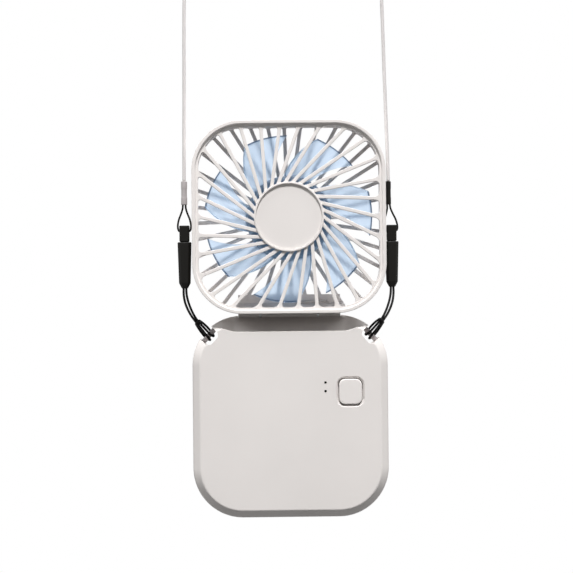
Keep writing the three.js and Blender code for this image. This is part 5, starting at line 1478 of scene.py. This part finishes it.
def impeller_blades():
    carrier = mesh_object("blade_carrier", [place(0, 0, 0)], [])
    middle = ROTOR_FRONT + BLADE_THICKNESS / 2 + BLADE_DEPTH / 2
    blades = grown("impeller_blades", carrier, SWEPT_BLADES, SWEPT_BLADES_INPUTS, {
        "Count": BLADE_COUNT, "Phase": math.radians(BLADE_PHASE), "Sweep": math.radians(BLADE_SWEEP),
        "Root Angle": math.radians(BLADE_ROOT_ANGLE), "Tip Angle": math.radians(BLADE_TIP_ANGLE),
        "Root Radius": (ROTOR_HUB_RADIUS - ROTOR_HUB_WALL / 2) * MM, "Tip Radius": BLADE_TIP_RADIUS * MM,
        "Depth": BLADE_DEPTH * MM, "Twist": BLADE_TWIST * MM, "Camber": BLADE_THICKNESS * MM,
        "Axis": place(0, middle, 0), "Finish": FINISHES["blade"],
    })
    sheet = blades.modifiers.new("thickness", "SOLIDIFY")
    sheet.thickness = BLADE_THICKNESS * MM
    sheet.offset = 0.0
    return finished(bake(blades))


stand_for(joined("impeller_moulding", [impeller_blades(), impeller_hub()]), "impeller", "blade")
print("impeller in place")

# %% [markdown]
# ## The battery base
# The base is a shallow box in two halves. Its front edge has a broad bevel, its top is cut by a sloping cove
# so that the head can tilt, and both top corners are notched for the lanyard pins. The two halves are lofted
# as solids, then the cove, the notches and the holes are cut with booleans, just as a toolmaker would. Behind
# the seam both halves have a small step, so that no light gets through it.

# %% Sizes of the base
BASE = (90.4, 93.3, 23.0)
BASE_TOP = -45.2
BASE_BOTTOM = -138.5
BASE_AT = (0.0, (BASE_TOP + BASE_BOTTOM) / 2)
BASE_FRONT = -19.0
BASE_BEVEL = 3.5
BASE_WALL = 2.0
REBATE = 0.6
TOUCH = 0.01
BEVEL_INSIDE = BASE_BEVEL + BASE_WALL * (math.sqrt(2) - 1)
BASE_EDGE = 0.18
BASE_FRONT_PROFILE = [
    (BASE_JOINT - TOUCH, REBATE, REBATE, 0), (BASE_JOINT - SPLIT, REBATE, REBATE, 0),
    (BASE_JOINT - SPLIT, 0, 0, 0), (BASE_FRONT + BASE_BEVEL, 0, 0, 1.3),
    (BASE_FRONT, BASE_BEVEL, BASE_BEVEL, 0.8), (BASE_FRONT, 9.0, 9.0, 0),
]
BASE_BACK_PROFILE = [
    (BASE_JOINT + TOUCH, REBATE, REBATE, 0), (BASE_JOINT + SPLIT, REBATE, REBATE, 0),
    (BASE_JOINT + SPLIT, 0, 0, 0), (0, 0, 0, 1.5), (0, 8.0, 8.0, 0),
]
BASE_ROOM_PROFILE = [
    (BASE_FRONT + BASE_WALL, BEVEL_INSIDE, BEVEL_INSIDE, 0),
    (BASE_FRONT + BEVEL_INSIDE, BASE_WALL, BASE_WALL, 0), (-BASE_WALL, BASE_WALL, BASE_WALL, 0),
]
print("base is", BASE[0], "by", BASE[1], "by", -BASE_FRONT, "mm")

# %% The cove
COVE_DEPTH = 7.7
COVE_EAR_DEPTH = 6.2
COVE_FLAT = 25.0
COVE_EAR_START = 32.0
COVE_RISE = math.tan(math.radians(23))
COVE_LEAD = 6.0
COVE_BACK = 8.0
COVE_REACH = 80.0
COVE_CEILING = 20.0
EASE_STEPS = 12


def cove_cutter(lowered):
    """The sloping cut under the head: flat in the middle, with an easy step up to each ear."""
    ear, flat = BASE_TOP - COVE_EAR_DEPTH - lowered, BASE_TOP - COVE_DEPTH - lowered
    half = [(0.0, flat)]
    for step in range(EASE_STEPS + 1):
        share = step / EASE_STEPS
        ease = share * share * (3 - 2 * share)
        half.append((COVE_FLAT + (COVE_EAR_START - COVE_FLAT) * share, flat + (ear - flat) * ease))
    half += [(COVE_REACH, ear), (COVE_REACH, COVE_CEILING)]
    outline = [(-x, z) for x, z in reversed(half[1:])] + half
    outline = [(x, z - COVE_RISE * COVE_LEAD) for x, z in outline]
    return prism("cove_cutter", outline, BASE_FRONT - COVE_LEAD, COVE_BACK, COVE_RISE)


print("cove rises by", round(COVE_RISE, 3), "mm for each millimetre back")

# %% Corner notches and their pins
NOTCH_WIDTH = 7.8
NOTCH_FLOOR = 17.0
NOTCH_CORNER = 2.2
NOTCH_REACH = 16.0
QUARTER_STEPS = 8
PIN_SEAT_RADIUS, PIN_SEAT_END = 1.45, 1.4


def notch_cutter(side, margin):
    """The slot across a top corner. A margin makes it larger, for the wall that stays round it."""
    half, floor = NOTCH_WIDTH / 2 + margin, NOTCH_FLOOR - margin
    corner = min(NOTCH_CORNER + margin, half)
    far = floor + NOTCH_REACH
    outline = [(far, -half), (far, half)]
    for centre_v, first in ((half - corner, 90), (-half + corner, 180)):
        for step in range(QUARTER_STEPS + 1):
            turn = math.radians(first + 90 * step / QUARTER_STEPS)
            outline.append((floor + corner + corner * math.cos(turn), centre_v + corner * math.sin(turn)))
    cosine, sine = math.cos(NOTCH_ANGLE), math.sin(NOTCH_ANGLE)
    turned_outline = [
        (side * (CORNER_CENTRE[0] + u * cosine - v * sine), CORNER_CENTRE[1] + u * sine + v * cosine)
        for u, v in outline
    ]
    return prism("notch_cutter", turned_outline, BASE_FRONT - 2 * PAST, 3 * PAST)


def rod_across_notch(name, side, radius, end, rounding=0.0):
    """A rod where the lanyard pin is, which goes into the notch's walls by an end on both sides."""
    half = NOTCH_WIDTH / 2 + end
    low, high = (place(*by_lanyard_pin(side, 0, along, 0)) for along in (-half, half))
    way = high - low
    length = way.length / MM
    profile = [(0, 0, 0), (0, radius, rounding), (length, radius, rounding), (length, 0, 0)]
    return turned(name, profile, low, way.normalized(), way.orthogonal().normalized())


def corner_cutters():
    """Both notches, then both seats of the pins."""
    notches = [notch_cutter(side, 0.0) for side in (LEFT, RIGHT)]
    return notches + [
        rod_across_notch("pin_seat", side, PIN_SEAT_RADIUS, PIN_SEAT_END) for side in (LEFT, RIGHT)
    ]


print("notches are", NOTCH_WIDTH, "mm wide")

# %% The hollow and the charging mouth
MOUTH_X = 15.0
MOUTH_Y = -8.65
MOUTH = (9.6, 3.9)
MOUTH_FLAT = 0.05
MOUTH_PAST_WALL = 1.5


def base_room():
    """The hollow of the base, kept a wall away from the cove, the notches and the hinge."""
    room = slab("base_room", BASE, BASE_ROOM_PROFILE, BASE_AT)
    hump = middle_bar("hinge_hump", HINGE_HUMP, HUMP_HALF)
    notches = [notch_cutter(side, BASE_WALL) for side in (LEFT, RIGHT)]
    return boolean(room, [cove_cutter(BASE_WALL), hump] + notches)


def mouth_cutter():
    """The stadium-shaped mouth in the bottom edge for the charging plug."""
    width, thickness = MOUTH
    radius = thickness / 2 - MOUTH_FLAT
    rings = []
    for z in (BASE_BOTTOM - PAST, BASE_BOTTOM + BASE_WALL + MOUTH_PAST_WALL):
        ring = []
        for quarter, (side, face) in enumerate(((1, 1), (-1, 1), (-1, -1), (1, -1))):
            for step in range(QUARTER_STEPS + 1):
                turn = math.radians(90 * quarter + 90 * step / QUARTER_STEPS)
                x = MOUTH_X + side * (width / 2 - radius) + radius * math.cos(turn)
                y = MOUTH_Y + face * (thickness / 2 - radius) + radius * math.sin(turn)
                ring.append(place(x, y, z))
        rings.append(ring)
    return loft("mouth_cutter", rings)


print("walls of the base are", BASE_WALL, "mm thick")

# %% [markdown]
# The front half gets the button's hole, with a shallow dish round it, and two tiny holes for the lights. The
# back half gets four screw recesses and the middle knuckle of the hinge.

# %% Front cover of the base
BUTTON_AT = (27.6, -80.7)
BUTTON = (10.9, 12.0, 3.0)
BUTTON_GAP = 0.3
DISH_DEPTH = 0.8
DISH_FLARE = 1.6
LIGHTS_AT = [(16.1, -76.4), (16.1, -80.4)]
LIGHT_HOLE_RADIUS = 0.6
THROUGH_FRONT = BASE_FRONT + 3.0


def button_hole():
    """The button's hole, with a shallow dish that widens to the front."""
    width, height, radius = BUTTON
    return slab("button_hole", (width + 2 * BUTTON_GAP, height + 2 * BUTTON_GAP, radius + BUTTON_GAP), [
        (BASE_FRONT - DISH_DEPTH, -DISH_FLARE, -DISH_FLARE, 0), (BASE_FRONT + DISH_DEPTH, 0, 0, 0),
        (THROUGH_FRONT, 0, 0, 0),
    ], BUTTON_AT)


def light_holes():
    return [
        bar_y("light_hole", LIGHT_HOLE_RADIUS, BASE_FRONT - PAST, THROUGH_FRONT, *spot) for spot in LIGHTS_AT
    ]


def base_front_cover():
    cover = slab("base_front_cover_moulding", BASE, BASE_FRONT_PROFILE, BASE_AT)
    cutters = [base_room(), cove_cutter(0.0), mouth_cutter(), button_hole()] + corner_cutters()
    return finished(boolean(cover, cutters + light_holes()), BASE_EDGE)


front_cover = stand_for(base_front_cover(), "base_front_cover", "shell")
print("base front cover has", len(front_cover.data.polygons), "faces")

# %% Back cover of the base
SCREW_AT = [(-38.2, -87.2), (38.2, -87.2), (-34.0, -122.5), (34.0, -122.5)]
RECESS_RADIUS = 2.2
RECESS_FLOOR = -1.7
CENTRE_KNUCKLE_HALF = 13.0
KNUCKLE_END_ROOM = 0.15


def screw_recesses():
    return [bar_y("screw_recess", RECESS_RADIUS, RECESS_FLOOR, 2 * PAST, *spot) for spot in SCREW_AT]


def base_back_cover():
    cover = slab("base_back_cover_moulding", BASE, BASE_BACK_PROFILE, BASE_AT)
    cutters = [base_room(), cove_cutter(0.0), mouth_cutter()] + corner_cutters()
    boolean(cover, cutters + screw_recesses())
    knuckle = middle_bar("centre_knuckle", KNUCKLE_RADIUS, CENTRE_KNUCKLE_HALF, KNUCKLE_EDGE)
    boolean(cover, [knuckle], "UNION")
    far = OUTER_KNUCKLE_END + KNUCKLE_END_ROOM
    rooms = [side_bar("outer_room", KNUCKLE_ROOM, side, CENTRE_KNUCKLE_HALF, far) for side in (LEFT, RIGHT)]
    bore = middle_bar("pin_bore", PIN_BORE, OUTER_KNUCKLE_START)
    return finished(boolean(cover, rooms + [bore]), BASE_EDGE)


back_cover = stand_for(base_back_cover(), "base_back_cover", "shell")
print("base back cover has", len(back_cover.data.polygons), "faces")

# %% [markdown]
# The button is a soft square that stands a little proud of its dish. Two tiny dark lights sit to its left.
# The lanyard pins are rods across the notches, grey with painted shade of the notch, and the hitches of the
# lower loops go round them.

# %% Button and pins
BUTTON_FACE = BASE_FRONT - 0.3
FACE_INSET = 2.0
BUTTON_DRAFT = 0.25
KEY_BACK = BASE_FRONT + 2.2
FLANGE = 1.3
FLANGE_FRONT = BASE_FRONT + 2.3
FLANGE_BACK = BASE_FRONT + 3.3
PIN_RADIUS, PIN_END, PIN_EDGE = 1.15, 1.1, 0.3


def power_button():
    """The key, with a flange behind the cover that keeps it from falling out."""
    return finished(slab("power_button_key", BUTTON, [
        (BUTTON_FACE, FACE_INSET, FACE_INSET, 0), (BUTTON_FACE, BUTTON_DRAFT, BUTTON_DRAFT, 0.5),
        (KEY_BACK, 0, 0, 0), (FLANGE_FRONT, -FLANGE, -FLANGE, 0.2),
        (FLANGE_BACK, -FLANGE, -FLANGE, 0.2), (FLANGE_BACK, FACE_INSET, FACE_INSET, 0),
    ], BUTTON_AT))


stand_for(power_button(), "power_button", "shell", BUTTON_FINISH)
for side in (LEFT, RIGHT):
    node = "lanyard_pin_" + SIDE_NAME[side]
    pin = rod_across_notch(node + "_rod", side, PIN_RADIUS, PIN_END, PIN_EDGE)
    stand_for(finished(pin), node, "grey_plastic", PIN_SHADE_FINISH)
print("button and pins in place")

# %% [markdown]
# ## Inner pieces
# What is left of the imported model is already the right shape: the motor, the cell, the boards, the lights, the
# screws and the hinge hardware. They only need their finishes, by the material slot that the record gives
# each node.

# %% Finishes of the carried nodes
SLOT_OF = {entry["node"]: entry["material_slot"] for entry in frame["record"]["subparts"]}
for node, carried in frame["nodes"].items():
    carried.data.materials.clear()
    carried.data.materials.append(FINISHES[SLOT_OF[node]])
print("finishes set on", len(frame["nodes"]), "carried nodes")

# %% [markdown]
# ## The cords' paths
# Each cord's start, length and points are worked out from its path here, and nothing keeps them.

# %% Cord facts
def declare(piece, path):
    tuple(path[0])
    path_length(path)
    [tuple(point) for point in path]


declare(neck_string, string_path)
for side in ("left", "right"):
    piece, path = loops["upper_loop_" + side]
    declare(piece, path)
    piece, path = loops["lower_loop_" + side]
    declare(piece, path)
print(1 + len(loops), "cords declared")

# %% [markdown]
# ## Stage and light
# The fan hangs in front of a white sweep. The floor and backdrop look white to the camera, in reflections and
# through the clear blades, but light the fan only with what falls on them, so the undersides stay as dark as
# in a studio.

# %% Floor and backdrop
FLOOR_DROP = 0.16
STAGE_WIDTH = 3.0
BACKDROP_AT = 1.1
SWEEP_FRONT = -1.6
SWEEP_TOP = 1.6
SWEEP_CURVE = 0.3
SWEEP_STEPS = 12
WHITE = (1.0, 1.0, 1.0, 1.0)
FLOOR_TONE = (0.08, 0.08, 0.08, 1.0)


def white_to_camera(tree, light, white, output):
    """White where the camera, a mirror or clear plastic looks, and the given light for everything else."""
    path = tree.nodes.new("ShaderNodeLightPath")
    seen = arithmetic(tree, "MAXIMUM", path.outputs["Is Camera Ray"], path.outputs["Is Glossy Ray"])
    seen = arithmetic(tree, "MAXIMUM", seen, path.outputs["Is Transmission Ray"])
    mix = tree.nodes.new("ShaderNodeMixShader")
    tree.links.new(seen, mix.inputs[0])
    tree.links.new(light.outputs[0], mix.inputs[1])
    tree.links.new(white.outputs[0], mix.inputs[2])
    tree.links.new(mix.outputs[0], output.inputs["Surface"])


def stage_material():
    material, tree, shader, _ = blank_material("white_sweep")
    shader.inputs["Base Color"].default_value = FLOOR_TONE
    shader.inputs["Roughness"].default_value = 0.9
    white = tree.nodes.new("ShaderNodeEmission")
    white.inputs["Color"].default_value = WHITE
    white_to_camera(tree, shader, white, tree.nodes["Material Output"])
    return material


def white_sweep():
    """A floor that curves up into a backdrop, drawn from the side and stretched across."""
    floor, curve = cad_box[0][2] - FLOOR_DROP, SWEEP_CURVE
    profile = [(SWEEP_FRONT, floor)]
    for step in range(SWEEP_STEPS + 1):
        turn = math.radians(90 * step / SWEEP_STEPS)
        profile.append((BACKDROP_AT - curve + curve * math.sin(turn), floor + curve * (1 - math.cos(turn))))
    profile.append((BACKDROP_AT, SWEEP_TOP))
    points = [(x, y, z) for y, z in profile for x in (-STAGE_WIDTH / 2, STAGE_WIDTH / 2)]
    faces = [(2 * i, 2 * i + 1, 2 * i + 3, 2 * i + 2) for i in range(len(profile) - 1)]
    sweep = mesh_object("white_sweep", points, faces)
    sweep.data.shade_smooth()
    sweep.data.materials.append(stage_material())
    return sweep


white_sweep()
print("floor lies", FLOOR_DROP, "m below the fan")

# %% [markdown]
# Four soft lamps light the fan. The key lamp is high in front and gives the slats and the cove their shadows.
# Two weaker ones shape the sides, and one behind, in front of the backdrop, lights the blades through.

# %% Lamps
LAMP_DISTANCE = 2.4
BACK_LAMP_DISTANCE = 1.0
MIDDLE = place(0, -10, -40)


def softbox(name, at, aim, size, power):
    lamp = bpy.data.lights.new(name, "AREA")
    lamp.shape = "DISK"
    lamp.size = size
    lamp.energy = power
    made = bpy.data.objects.new(name, lamp)
    bpy.context.scene.collection.objects.link(made)
    way = Vector(aim) - Vector(at)
    made.matrix_world = Matrix.Translation(at) @ way.to_track_quat("-Z", "Y").to_matrix().to_4x4()
    return made


for name, way, distance, size, power in [
    ("key_softbox", (0.05, -0.46, 0.88), LAMP_DISTANCE, 0.36, 85.0),
    ("left_softbox", (-0.80, -0.17, 0.57), LAMP_DISTANCE, 0.6, 15.0),
    ("right_softbox", (0.80, -0.17, 0.57), LAMP_DISTANCE, 0.6, 13.0),
    ("back_softbox", (0.15, 0.83, 0.83), BACK_LAMP_DISTANCE, 0.6, 11.0),
]:
    softbox(name, MIDDLE + distance * Vector(way), MIDDLE, size, power)
    print(name, "gives", power, "W")

# %% World
FILL_LIGHT = 0.2


def studio_world():
    """An even fill from all round, which is all that reaches the shaded sides."""
    world = bpy.data.worlds.new("studio")
    world.use_nodes = True
    tree = world.node_tree
    light = tree.nodes["Background"]
    light.inputs["Color"].default_value = WHITE
    light.inputs["Strength"].default_value = FILL_LIGHT
    white = tree.nodes.new("ShaderNodeBackground")
    white.inputs["Color"].default_value = WHITE
    white_to_camera(tree, light, white, tree.nodes["World Output"])
    bpy.context.scene.world = world


studio_world()
print("world gives an even fill of", FILL_LIGHT)
